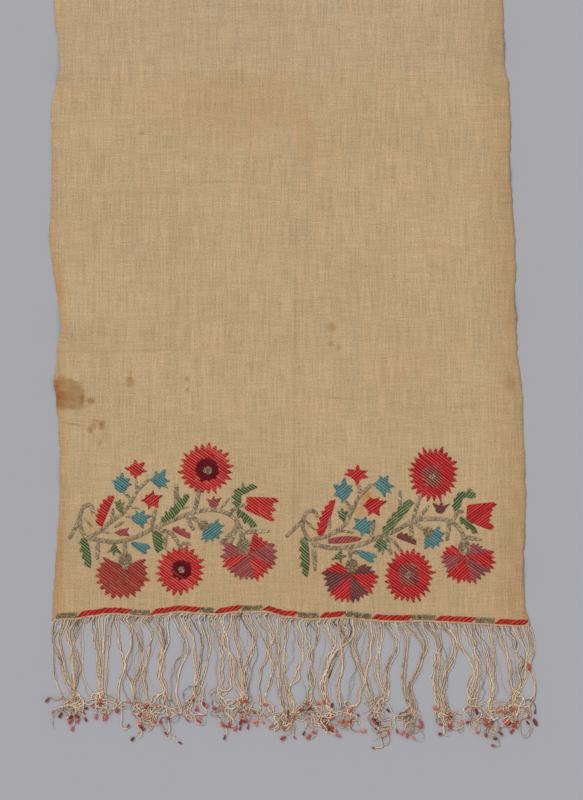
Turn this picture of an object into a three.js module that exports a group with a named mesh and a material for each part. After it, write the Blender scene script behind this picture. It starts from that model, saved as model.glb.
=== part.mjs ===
// Embroidered towel: one long, thin, slubby cloth lying flat, with a puckered
// selvedge on each side, a narrow turned hem at its far end and a knotted fringe
// along its near end.  Millimetres, +Z up.  The fringed end is towards -Y and the
// towel lies on the plane z = 0, with its box centred on the Z axis.
//
// In the tables below x is measured from the towel's centre line and y from the
// line where the fringe starts, so that the cloth runs up +Y and the fringe down -Y.

import * as THREE from 'three';

// ---------------------------------------------------------------- dimensions
const CLOTH_LENGTH = 1060;   // fringed edge to far hem
const CLOTH_T = 1.2;         // sheet thickness
const HEM_DEPTH = 9;         // turned hem at the far end
const HEM_EXTRA = 0.9;       // what the turning adds to the thickness
const FRINGE_T = 2.0;        // the cords lie two deep
const HEADER = 3.5;          // solid strip at the root of the comb
const JOIN_GAP = 0.3;        // between the cloth's edge and the comb
const SETTLE = 45;           // over this length the wavy lower edge dies out

// ---------------------------------------------------------------- outline
// A row for each section across the towel: where the two selvedges are.
const SECTIONS = [
  { y: 0, left: -239, right: 240 },
  { y: 20, left: -238, right: 234 },
  { y: 50, left: -236, right: 232 },
  { y: 80, left: -233.5, right: 234 },
  { y: 120, left: -231, right: 235 },
  { y: 160, left: -230.5, right: 234 },
  { y: 195, left: -232.5, right: 232 },
  { y: 220, left: -235, right: 232 },
  { y: 240, left: -237, right: 230 },
  { y: 265, left: -234, right: 226.5 },
  { y: 295, left: -229.5, right: 225.5 },
  { y: 320, left: -233, right: 223 },
  { y: 350, left: -238, right: 225 },
  { y: 380, left: -242, right: 224 },
  { y: 415, left: -240, right: 221.5 },
  { y: 455, left: -239, right: 218.5 },
  { y: 490, left: -240, right: 220 },
  { y: 515, left: -239.5, right: 219 },
  { y: 535, left: -235, right: 218 },
  { y: 553, left: -230.5, right: 214 },
  { y: 575, left: -233, right: 212.5 },
  { y: 605, left: -236.5, right: 212.5 },
  { y: 640, left: -239, right: 211 },
  { y: 685, left: -237, right: 213 },
  { y: 720, left: -234, right: 216 },
  { y: 760, left: -236, right: 218 },
  { y: 805, left: -239, right: 217 },
  { y: 850, left: -240, right: 214 },
  { y: 890, left: -237, right: 212 },
  { y: 930, left: -234, right: 214 },
  { y: 970, left: -236, right: 217 },
  { y: 1010, left: -238, right: 216 },
  { y: 1060, left: -236.5, right: 213 },
];

// The lower edge is pulled up and down by the border's stitching: how far it
// drops below the line y = 0, from selvedge to selvedge.
const LOWER_EDGE = [
  { x: -240, drop: 0.8 },
  { x: -214, drop: -0.2 },
  { x: -186, drop: -6.7 },
  { x: -173, drop: -7.2 },
  { x: -151, drop: -3.2 },
  { x: -141, drop: -2.2 },
  { x: -111, drop: -7.7 },
  { x: -91, drop: -6.2 },
  { x: -75, drop: -5.2 },
  { x: -51, drop: -8.7 },
  { x: -28, drop: -7.7 },
  { x: -3, drop: -3.2 },
  { x: 18, drop: -1.6 },
  { x: 54, drop: -2.9 },
  { x: 80, drop: 0.3 },
  { x: 109, drop: 1.6 },
  { x: 133, drop: 0.6 },
  { x: 164, drop: 3.0 },
  { x: 194, drop: 4.3 },
  { x: 240, drop: 6.3 },
];

// ---------------------------------------------------------------- folds
// Soft ridges where the sheet leaves the surface: puckers along the selvedges,
// an old fold down the middle, a fainter one beside it and one across.  angle is
// the way the ridge runs, in degrees from +X.
const RIDGES = [
  { x: -234, y: 553, angle: -4, half_length: 62, half_width: 20, height: 3.0 },
  { x: -232, y: 295, angle: 6, half_length: 56, half_width: 26, height: 3.4 },
  { x: -233, y: 150, angle: 0, half_length: 40, half_width: 30, height: 2.2 },
  { x: -238, y: 235, angle: -12, half_length: 34, half_width: 18, height: 1.8 },
  { x: 214, y: 577, angle: 3, half_length: 48, half_width: 24, height: 2.4 },
  { x: 220, y: 447, angle: -8, half_length: 44, half_width: 24, height: 2.0 },
  { x: 225, y: 312, angle: 5, half_length: 50, half_width: 26, height: 2.8 },
  { x: 234, y: 46, angle: 8, half_length: 42, half_width: 24, height: 2.2 },
  { x: -236, y: 722, angle: 5, half_length: 46, half_width: 26, height: 2.6 },
  { x: 214, y: 884, angle: -6, half_length: 50, half_width: 28, height: 2.6 },
  { x: -236, y: 930, angle: -3, half_length: 44, half_width: 26, height: 2.4 },
  { x: 2, y: 200, angle: 90, half_length: 250, half_width: 11, height: 0.9 },
  { x: -121, y: 335, angle: 90, half_length: 160, half_width: 10, height: 0.6 },
  { x: -8, y: 547, angle: 0, half_length: 236, half_width: 16, height: 0.9 },
];

// ---------------------------------------------------------------- mesh lines
// Across: shares of the width, closer together at the folds and selvedges.
const ACROSS = [
  0, 0.03, 0.07, 0.11, 0.15, 0.19, 0.225, 0.247, 0.269, 0.31, 0.35, 0.39, 0.43,
  0.465, 0.488, 0.508, 0.528, 0.56, 0.6, 0.64, 0.68, 0.72, 0.76, 0.8, 0.84, 0.88,
  0.92, 0.96, 1,
];
// Along: heights of the section lines, in mm from the fringed edge.
const ALONG = [
  0, 8, 20, 34, 46, 60, 80, 105, 130, 150, 170, 195, 215, 235, 255, 275, 295, 315,
  335, 360, 390, 420, 447, 475, 505, 527, 537, 547, 557, 567, 580, 600, 630, 665,
  700, 722, 745, 780, 820, 855, 884, 910, 930, 950, 985, 1020,
  CLOTH_LENGTH - HEM_DEPTH - 1, CLOTH_LENGTH - HEM_DEPTH, CLOTH_LENGTH,
];

// ---------------------------------------------------------------- fringe
// A row for each clump of cords, from the left selvedge to the right: the part
// of the edge it hangs from, where it draws together, where its tangle is widest
// and where it ends.  w is the width there.
const CLUMPS = [
  { from: -238, to: -217, neck_x: -217, neck_y: -69, neck_w: 5, belly_x: -219, belly_y: -102, belly_w: 16, tip_x: -221, tip_y: -130, tip_w: 8 },
  { from: -215, to: -179, neck_x: -193, neck_y: -70, neck_w: 8, belly_x: -193, belly_y: -84, belly_w: 15, tip_x: -190, tip_y: -120, tip_w: 20 },
  { from: -177, to: -162, neck_x: -169, neck_y: -48, neck_w: 5, belly_x: -170, belly_y: -80, belly_w: 10, tip_x: -169, tip_y: -95, tip_w: 6 },
  { from: -160, to: -144, neck_x: -156, neck_y: -62, neck_w: 5, belly_x: -151, belly_y: -105, belly_w: 15, tip_x: -153, tip_y: -122, tip_w: 6 },
  { from: -142, to: -123, neck_x: -127, neck_y: -70, neck_w: 6, belly_x: -124, belly_y: -95, belly_w: 22, tip_x: -127, tip_y: -126, tip_w: 26 },
  { from: -121, to: -101, neck_x: -101, neck_y: -70, neck_w: 8, belly_x: -95, belly_y: -95, belly_w: 16, tip_x: -94, tip_y: -118, tip_w: 12 },
  { from: -99, to: -69, neck_x: -77, neck_y: -70, neck_w: 10, belly_x: -69, belly_y: -100, belly_w: 14, tip_x: -68, tip_y: -123, tip_w: 10 },
  { from: -67, to: -49, neck_x: -48, neck_y: -77, neck_w: 5, belly_x: -43, belly_y: -102, belly_w: 17, tip_x: -41, tip_y: -118, tip_w: 12 },
  { from: -47, to: -18, neck_x: -26, neck_y: -65, neck_w: 10, belly_x: -24, belly_y: -95, belly_w: 12, tip_x: -15, tip_y: -117, tip_w: 7 },
  { from: -16, to: 12, neck_x: -5, neck_y: -67, neck_w: 9, belly_x: 2, belly_y: -102, belly_w: 20, tip_x: 6, tip_y: -132, tip_w: 22 },
  { from: 14, to: 29, neck_x: 21, neck_y: -66, neck_w: 8, belly_x: 25, belly_y: -78, belly_w: 6, tip_x: 27, tip_y: -86, tip_w: 5 },
  { from: 31, to: 52, neck_x: 38, neck_y: -80, neck_w: 6, belly_x: 43, belly_y: -102, belly_w: 17, tip_x: 38, tip_y: -125, tip_w: 14 },
  { from: 54, to: 71, neck_x: 61, neck_y: -70, neck_w: 8, belly_x: 62, belly_y: -100, belly_w: 10, tip_x: 62, tip_y: -113, tip_w: 7 },
  { from: 73, to: 89, neck_x: 77, neck_y: -70, neck_w: 7, belly_x: 79, belly_y: -105, belly_w: 14, tip_x: 80, tip_y: -126, tip_w: 10 },
  { from: 91, to: 107, neck_x: 93, neck_y: -74, neck_w: 5, belly_x: 95, belly_y: -86, belly_w: 6, tip_x: 96, tip_y: -96, tip_w: 5 },
  { from: 109, to: 123, neck_x: 117, neck_y: -80, neck_w: 6, belly_x: 121, belly_y: -105, belly_w: 15, tip_x: 121, tip_y: -122, tip_w: 12 },
  { from: 125, to: 141, neck_x: 137, neck_y: -75, neck_w: 8, belly_x: 137, belly_y: -110, belly_w: 12, tip_x: 137, tip_y: -128, tip_w: 10 },
  { from: 143, to: 161, neck_x: 151, neck_y: -67, neck_w: 7, belly_x: 155, belly_y: -110, belly_w: 15, tip_x: 156, tip_y: -126, tip_w: 10 },
  { from: 163, to: 181, neck_x: 177, neck_y: -70, neck_w: 7, belly_x: 174, belly_y: -102, belly_w: 11, tip_x: 171, tip_y: -118, tip_w: 8 },
  { from: 183, to: 209, neck_x: 199, neck_y: -72, neck_w: 12, belly_x: 193, belly_y: -110, belly_w: 19, tip_x: 192, tip_y: -130, tip_w: 20 },
  { from: 211, to: 240, neck_x: 233, neck_y: -45, neck_w: 16, belly_x: 231, belly_y: -80, belly_w: 34, tip_x: 224, tip_y: -127, tip_w: 24 },
];

// ---------------------------------------------------------------- functions
const ease = (t) => t * t * (3 - 2 * t);

// value of one column of a table at a place between its rows
function along(table, key, column, at) {
  if (at <= table[0][key]) return table[0][column];
  for (let i = 1; i < table.length; i++) {
    const a = table[i - 1];
    const b = table[i];
    if (at <= b[key]) {
      return a[column] + (b[column] - a[column]) * ease((at - a[key]) / (b[key] - a[key]));
    }
  }
  return table[table.length - 1][column];
}

const lowerEdge = (x) => -along(LOWER_EDGE, 'x', 'drop', x);

// a soft window, 1 in the middle and 0 from its end on
const soft = (t) => (Math.abs(t) >= 1 ? 0 : Math.cos((Math.PI * t) / 2) ** 2);

// how far the sheet is lifted off the surface
function lift(x, y) {
  let z = 0;
  for (const r of RIDGES) {
    const a = THREE.MathUtils.degToRad(r.angle);
    const dx = x - r.x;
    const dy = y - r.y;
    const run = dx * Math.cos(a) + dy * Math.sin(a);
    const off = -dx * Math.sin(a) + dy * Math.cos(a);
    z = Math.max(z, r.height * soft(run / r.half_length) * soft(off / r.half_width));
  }
  return z;
}

// point of the sheet's underside at a share of the width and a section line
function sheetPoint(share, y) {
  const left = along(SECTIONS, 'y', 'left', y);
  const right = along(SECTIONS, 'y', 'right', y);
  const x = left + (right - left) * share;
  const settled = Math.min(1, y / SETTLE);
  const yy = y + lowerEdge(x) * (1 - ease(settled));
  return new THREE.Vector3(x, yy, lift(x, yy));
}

const hemExtra = (y) => (y >= CLOTH_LENGTH - HEM_DEPTH ? HEM_EXTRA : 0);

// The sheet: an underside and a face of the same cells, closed round its edge.
function clothGeometry() {
  const columns = ACROSS.length;
  const rows = ALONG.length;
  const positions = [];
  const index = [];
  for (const side of [0, 1]) {
    for (const y of ALONG) {
      for (const share of ACROSS) {
        const p = sheetPoint(share, y);
        positions.push(p.x, p.y, p.z + (side ? CLOTH_T + hemExtra(y) : 0));
      }
    }
  }
  const at = (side, row, column) => side * rows * columns + row * columns + column;
  for (let r = 0; r < rows - 1; r++) {
    for (let c = 0; c < columns - 1; c++) {
      const a = at(1, r, c), b = at(1, r, c + 1), d = at(1, r + 1, c), e = at(1, r + 1, c + 1);
      index.push(a, b, e, a, e, d);
      const f = at(0, r, c), g = at(0, r, c + 1), h = at(0, r + 1, c), k = at(0, r + 1, c + 1);
      index.push(f, k, g, f, h, k);
    }
  }
  const wall = (r0, c0, r1, c1) => {
    const a = at(0, r0, c0), b = at(0, r1, c1), c = at(1, r1, c1), d = at(1, r0, c0);
    index.push(a, b, c, a, c, d);
  };
  for (let c = 0; c < columns - 1; c++) {
    wall(0, c, 0, c + 1);
    wall(rows - 1, c + 1, rows - 1, c);
  }
  for (let r = 0; r < rows - 1; r++) {
    wall(r, columns - 1, r + 1, columns - 1);
    wall(r + 1, 0, r, 0);
  }
  const geometry = new THREE.BufferGeometry();
  geometry.setAttribute('position', new THREE.Float32BufferAttribute(positions, 3));
  geometry.setIndex(index);
  geometry.computeVertexNormals();
  return geometry;
}

// One side of a clump, from its root down to its tip.
function clumpSide(clump, sign) {
  const rootX = sign < 0 ? clump.from : clump.to;
  const stations = [
    { x: rootX, y: lowerEdge(rootX) - JOIN_GAP - HEADER, steps: 4 },
    { x: clump.neck_x + (sign * clump.neck_w) / 2, y: clump.neck_y, steps: 3 },
    { x: clump.belly_x + (sign * clump.belly_w) / 2, y: clump.belly_y, steps: 2 },
    { x: clump.tip_x + (sign * clump.tip_w) / 2, y: clump.tip_y + 2.5, steps: 1 },
    { x: clump.tip_x + (sign * clump.tip_w) / 4, y: clump.tip_y, steps: 0 },
  ];
  const points = [];
  for (let i = 0; i < stations.length; i++) {
    const a = stations[i];
    points.push(new THREE.Vector2(a.x, a.y));
    for (let s = 1; s < a.steps; s++) {
      const b = stations[i + 1];
      const t = s / a.steps;
      points.push(new THREE.Vector2(a.x + (b.x - a.x) * ease(t), a.y + (b.y - a.y) * t));
    }
  }
  return points;
}

// The fringe: one comb, its header on the cloth's wavy edge and a tooth for each
// clump of cords.
function fringeGeometry() {
  const outline = [];
  const first = CLUMPS[0];
  const last = CLUMPS[CLUMPS.length - 1];
  for (const clump of CLUMPS) {
    outline.push(...clumpSide(clump, -1), ...clumpSide(clump, 1).reverse());
  }
  const edge = ACROSS.map((share) => sheetPoint(share, 0)).filter(
    (p) => p.x > first.from + 2 && p.x < last.to - 2,
  );
  outline.push(new THREE.Vector2(last.to, lowerEdge(last.to) - JOIN_GAP));
  for (const p of edge.reverse()) outline.push(new THREE.Vector2(p.x, p.y - JOIN_GAP));
  outline.push(new THREE.Vector2(first.from, lowerEdge(first.from) - JOIN_GAP));
  return new THREE.ExtrudeGeometry(new THREE.Shape(outline), {
    depth: FRINGE_T,
    bevelEnabled: false,
  });
}

// ---------------------------------------------------------------- the towel
const towel = new THREE.Group();

const cloth = new THREE.Mesh(
  clothGeometry(),
  new THREE.MeshStandardMaterial({ color: 0xb8a07e, roughness: 0.95, metalness: 0 }),
);
cloth.name = 'cloth';
towel.add(cloth);

const fringe = new THREE.Mesh(
  fringeGeometry(),
  new THREE.MeshStandardMaterial({ color: 0xa98f6f, roughness: 0.9, metalness: 0 }),
);
fringe.name = 'fringe';
towel.add(fringe);

// the box is centred over the origin, and the towel lies on z = 0
const box = new THREE.Box3().setFromObject(towel);
towel.position.set(-(box.min.x + box.max.x) / 2, -(box.min.y + box.max.y) / 2, -box.min.z);
towel.updateMatrixWorld(true);

export default towel;
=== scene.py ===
import math

import bpy
import numpy as np
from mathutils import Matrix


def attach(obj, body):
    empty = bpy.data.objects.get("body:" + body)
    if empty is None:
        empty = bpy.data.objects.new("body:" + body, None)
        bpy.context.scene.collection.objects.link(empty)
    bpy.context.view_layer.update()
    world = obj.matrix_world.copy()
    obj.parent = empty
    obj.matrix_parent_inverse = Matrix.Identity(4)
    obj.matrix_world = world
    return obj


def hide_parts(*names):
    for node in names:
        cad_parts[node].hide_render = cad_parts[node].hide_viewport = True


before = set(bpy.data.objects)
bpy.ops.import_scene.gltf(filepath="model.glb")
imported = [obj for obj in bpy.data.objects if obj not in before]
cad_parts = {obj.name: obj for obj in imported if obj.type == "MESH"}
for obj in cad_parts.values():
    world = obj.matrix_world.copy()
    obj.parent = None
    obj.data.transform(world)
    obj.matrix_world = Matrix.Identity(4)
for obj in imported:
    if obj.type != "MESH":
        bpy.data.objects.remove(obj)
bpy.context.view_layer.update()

# Embroidered towel, metres, +Z up out of the embroidered face.  The tables below
# are in millimetres: x from the towel's centre line, y up from the line where the
# fringe starts.  place() turns them into the frame's metres.
SHIFT_X, SHIFT_Y = -2.8, -464.0
MM = 0.001

# ---------------------------------------------------------------- camera
camera_data = bpy.data.cameras.new("camera")
camera_data.lens = 108
camera_data.sensor_width = 36
camera_data.sensor_fit = "AUTO"
camera_data.clip_start, camera_data.clip_end = 0.05, 40
camera = bpy.data.objects.new("camera", camera_data)
camera.location = (-0.0023, -0.244, 2.4008)
bpy.context.scene.collection.objects.link(camera)
bpy.context.scene.camera = camera

# ---------------------------------------------------------------- the sheet's form
CLOTH_LENGTH = 1060.0
HEM_DEPTH = 9.0
SETTLE = 45.0
SHEET_T = 0.5          # the woven cloth itself

SECTIONS = np.array([  # y, left selvedge, right selvedge
    (0, -239, 240), (20, -238, 234), (50, -236, 232), (80, -233.5, 234),
    (120, -231, 235), (160, -230.5, 234), (195, -232.5, 232), (220, -235, 232),
    (240, -237, 230), (265, -234, 226.5), (295, -229.5, 225.5), (320, -233, 223),
    (350, -238, 225), (380, -242, 224), (415, -240, 221.5), (455, -239, 218.5),
    (490, -240, 220), (515, -239.5, 219), (535, -235, 218), (553, -230.5, 214),
    (575, -233, 212.5), (605, -236.5, 212.5), (640, -239, 211), (685, -237, 213),
    (720, -234, 216), (760, -236, 218), (805, -239, 217), (850, -240, 214),
    (890, -237, 212), (930, -234, 214), (970, -236, 217), (1010, -238, 216),
    (1060, -236.5, 213),
], float)

LOWER_EDGE = np.array([  # x, drop below y = 0
    (-240, 1.0), (-214, -0.3), (-203, -2.3), (-197, -3.0), (-186, -4.8), (-173, -5.0),
    (-165, -4.2), (-151, -2.8), (-141, -2.5), (-131, -4.6), (-111, -7.1), (-91, -5.7),
    (-75, -4.5), (-51, -7.3), (-28, -7.4), (-3, -2.0), (18, 0.2), (36, -0.4), (54, -1.5),
    (80, 1.1), (97, 2.4), (109, 2.6), (133, 1.8), (151, 3.0), (164, 3.6), (194, 5.1),
    (211, 6.3), (225, 7.1), (240, 7.0),
], float)

RIDGES = [  # x, y, angle, half length, half width, height
    (-234, 553, -4, 62, 20, 3.0), (-232, 295, 6, 56, 26, 3.4), (-233, 150, 0, 40, 30, 2.2),
    (-238, 235, -12, 34, 18, 1.8), (214, 577, 3, 48, 24, 2.4), (220, 447, -8, 44, 24, 2.0),
    (225, 312, 5, 50, 26, 2.8), (234, 46, 8, 42, 24, 2.2), (-236, 722, 5, 46, 26, 2.6),
    (214, 884, -6, 50, 28, 2.6), (-236, 930, -3, 44, 26, 2.4), (2, 200, 90, 250, 11, 0.9),
    (-121, 335, 90, 160, 10, 0.6), (-8, 547, 0, 236, 16, 0.9),
]


def ease(t):
    return t * t * (3 - 2 * t)


def along(table, column, at):
    """Value of a table's column between its rows, eased as in the solid."""
    at = np.asarray(at, float)
    i = np.clip(np.searchsorted(table[:, 0], at, side="left"), 1, len(table) - 1)
    a, b = table[i - 1], table[i]
    t = np.clip((at - a[..., 0]) / (b[..., 0] - a[..., 0]), 0, 1)
    return a[..., column] + (b[..., column] - a[..., column]) * ease(t)


def lower_edge(x):
    return -along(LOWER_EDGE, 1, x)


def soft(t):
    return np.where(np.abs(t) >= 1, 0.0, np.cos(np.pi * np.clip(t, -1, 1) / 2) ** 2)


def lift(x, y):
    """How far the sheet is off the surface: puckered selvedges and old folds."""
    z = np.zeros(np.broadcast(x, y).shape)
    for rx, ry, angle, length, width, height in RIDGES:
        a = math.radians(angle)
        dx, dy = x - rx, y - ry
        run, off = dx * math.cos(a) + dy * math.sin(a), -dx * math.sin(a) + dy * math.cos(a)
        z = np.maximum(z, height * soft(run / length) * soft(off / width))
    return z


def waves(x, y, seed, count, shortest, longest, lean=None, spread=math.pi):
    """A smooth uneven field from a few dozen crossing waves, about -1 to 1."""
    r = np.random.default_rng(seed)
    total = np.zeros(np.broadcast(x, y).shape)
    for _ in range(count):
        length = shortest * (longest / shortest) ** r.random()
        a = r.random() * 2 * math.pi if lean is None else lean + spread * (r.random() - 0.5)
        total = total + np.sin(
            2 * math.pi * (x * math.cos(a) + y * math.sin(a)) / length + r.random() * 2 * math.pi
        )
    return total / math.sqrt(count)


def selvedges(y):
    left = along(SECTIONS, 1, y) + 0.35 * waves(y * 0, y, 11, 9, 9, 40, math.pi / 2, 0.0)
    right = along(SECTIONS, 2, y) + 0.35 * waves(y * 0, y, 12, 9, 9, 40, math.pi / 2, 0.0)
    return left, right


def crinkle(x, y, edge):
    """Fine unevenness of old cloth that has been rolled, washed and folded."""
    z = 0.09 * waves(x, y, 21, 26, 14, 70)
    across = waves(x * 0.35, y, 22, 18, 5.5, 13, math.pi / 2, 0.5)
    z = z + 0.16 * across * soft((y - 549) / 46)
    z = z + 0.05 * waves(x * 0.3, y, 23, 18, 7, 18, math.pi / 2, 0.6)
    pucker = waves(x * 0.2, y, 24, 16, 9, 26, math.pi / 2, 0.3)
    z = z + 0.30 * pucker * np.exp(-edge / 9.0)
    near = waves(x, y * 0.2, 25, 18, 7, 20, 0.0, 0.4)
    z = z + 0.20 * near * np.exp(-np.maximum(y, 0) / 10.0)
    worked = soft((y - 110) / 90) * soft(np.minimum(np.abs(x + 118), np.abs(x - 108)) / 125)
    z = z + 0.12 * waves(x, y, 26, 20, 8, 22) * worked
    return z


def ground(x, y):
    """Underside of the cloth at a point, in mm above the surface that it lies on."""
    left, right = selvedges(np.asarray(y, float))
    edge = np.minimum(x - left, right - x)
    z = 0.34 + crinkle(x, y, np.maximum(edge, 0)) + lift(x, y)
    crease = 0.22 * np.exp(-(((x - 1 - y * 0.011) / 1.6) ** 2)) * soft((y - 190) / 260)
    return np.maximum(z - crease, 0.06)


def top_of(x, y):
    return ground(x, y) + SHEET_T


def place(x, y, z):
    """Millimetres of the tables to metres of the frame."""
    return np.stack(np.broadcast_arrays(
        (np.asarray(x, float) + SHIFT_X) * MM, (np.asarray(y, float) + SHIFT_Y) * MM,
        np.asarray(z, float) * MM), -1)


# ---------------------------------------------------------------- mesh helpers
def mesh_object(name, points, faces, smooth=True):
    """One object from points (n, 3) in metres and a list of face arrays."""
    me = bpy.data.meshes.new(name)
    points = np.ascontiguousarray(points, np.float32)
    sizes = np.concatenate([np.full(len(f), f.shape[1], np.int32) for f in faces])
    loops = np.concatenate([f.ravel() for f in faces]).astype(np.int32)
    starts = np.concatenate([[0], np.cumsum(sizes)[:-1]]).astype(np.int32)
    me.vertices.add(len(points))
    me.vertices.foreach_set("co", points.ravel())
    me.loops.add(len(loops))
    me.loops.foreach_set("vertex_index", loops)
    me.polygons.add(len(sizes))
    me.polygons.foreach_set("loop_start", starts)
    me.polygons.foreach_set("loop_total", sizes)
    me.polygons.foreach_set("use_smooth", np.full(len(sizes), smooth))
    me.update(calc_edges=True)
    me.validate()
    ob = bpy.data.objects.new(name, me)
    bpy.context.scene.collection.objects.link(ob)
    return ob


def point_values(ob, name, values):
    a = ob.data.attributes.new(name, "FLOAT", "POINT")
    a.data.foreach_set("value", np.ascontiguousarray(values, np.float32))


def corner_map(ob, name, per_corner):
    """A UV map from an (corners, 2) array."""
    uv = ob.data.uv_layers.new(name=name)
    uv.data.foreach_set("uv", np.ascontiguousarray(per_corner, np.float32).ravel())
    return uv


def corner_points(ob):
    v = np.empty(len(ob.data.loops), np.int32)
    ob.data.loops.foreach_get("vertex_index", v)
    return v


# ---------------------------------------------------------------- the ground cloth
def cloth_object():
    """A closed thin sheet: face and back of the same cells and a wall round them."""
    columns, rows = 134, 292
    share = np.linspace(0, 1, columns)
    # a little closer together near the selvedges
    share = share + 0.010 * np.sin(2 * math.pi * share) * -1.0
    ys = np.concatenate([
        np.linspace(0, CLOTH_LENGTH - HEM_DEPTH - 1.5, rows - 4),
        CLOTH_LENGTH - HEM_DEPTH + np.array([0.0, 2.0, HEM_DEPTH - 1.2, HEM_DEPTH]),
    ])
    Y, U = np.meshgrid(ys, share, indexing="ij")
    left, right = selvedges(Y)
    X = left + (right - left) * U
    YY = Y + lower_edge(X) * (1 - ease(np.minimum(1, Y / SETTLE)))
    edge = np.minimum(X - left, right - X)
    low = ground(X, YY)
    # the turned hem: three layers, softened at its two long sides
    hem = np.where(Y >= CLOTH_LENGTH - HEM_DEPTH, 0.75, 0.0) * np.where(Y >= CLOTH_LENGTH, 0.6, 1.0)
    high = low + SHEET_T + hem
    # the selvedge thins out where the weft turns
    thin = np.where(edge < 0.5, 0.12, 0.0)
    low, high = low + thin, high - thin
    n = columns * rows
    points = np.concatenate([
        place(X, YY, low).reshape(-1, 3), place(X, YY, high).reshape(-1, 3)])
    g = np.arange(n).reshape(rows, columns)
    a, b, c, d = g[:-1, :-1], g[:-1, 1:], g[1:, 1:], g[1:, :-1]
    under = np.stack([a, d, c, b], -1).reshape(-1, 4)
    over = np.stack([a, b, c, d], -1).reshape(-1, 4) + n

    def wall(line, flip):
        p, q = line[:-1], line[1:]
        f = np.stack([p, q, q + n, p + n], -1)
        return f[:, ::-1] if flip else f

    walls = [wall(g[0], False), wall(g[-1], True), wall(g[:, -1], False), wall(g[:, 0], True)]
    ob = mesh_object("ground_cloth", points, [under, over, *walls])

    # one map: back and face side by side, the walls in narrow strips of their own
    x0, y0 = X.min(), YY.min()
    wide, tall = X.max() - x0, YY.max() - y0
    s = 0.985 / max(2 * wide + 40, tall + 18)
    flat = np.stack([(X - x0) * s + 0.004, (YY - y0) * s + 0.012], -1).reshape(-1, 2)
    face = flat + [(wide + 12) * s, 0]
    uv = [face[over - n].reshape(-1, 2)]
    uv.insert(0, flat[under].reshape(-1, 2))
    strip = 3.0 * s
    for k, line in enumerate([g[0], g[-1], g[:, -1], g[:, 0]]):
        if k < 2:   # near and far ends: lying strips under the two charts
            t = (X.ravel()[line] - x0) * s
            base = np.stack([t + 0.004 + (wide + 12) * s * k, t * 0 + 0.002], -1)
            out = np.array([0.0, strip])
        else:       # selvedges: standing strips to the right of both charts
            t = (YY.ravel()[line] - y0) * s + 0.012
            base = np.stack([t * 0 + 0.004 + (2 * wide + 22 + 7 * (k - 2)) * s, t], -1)
            out = np.array([strip, 0.0])
        p, q = base[:-1], base[1:]
        f = np.stack([p, q, q + out, p + out], 1)
        if k in (1, 3):
            f = f[:, ::-1]
        uv.append(f.reshape(-1, 2))
    corner_map(ob, "OFBake", np.concatenate(uv))

    both = lambda v: np.concatenate([v.ravel(), v.ravel()])
    point_values(ob, "edge_mm", both(edge))
    point_values(ob, "side", both(np.where(X < 0, -1.0, 1.0)))
    point_values(ob, "up_mm", both(YY - lower_edge(X) * (1 - ease(np.minimum(1, Y / SETTLE)))))
    return ob


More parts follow.
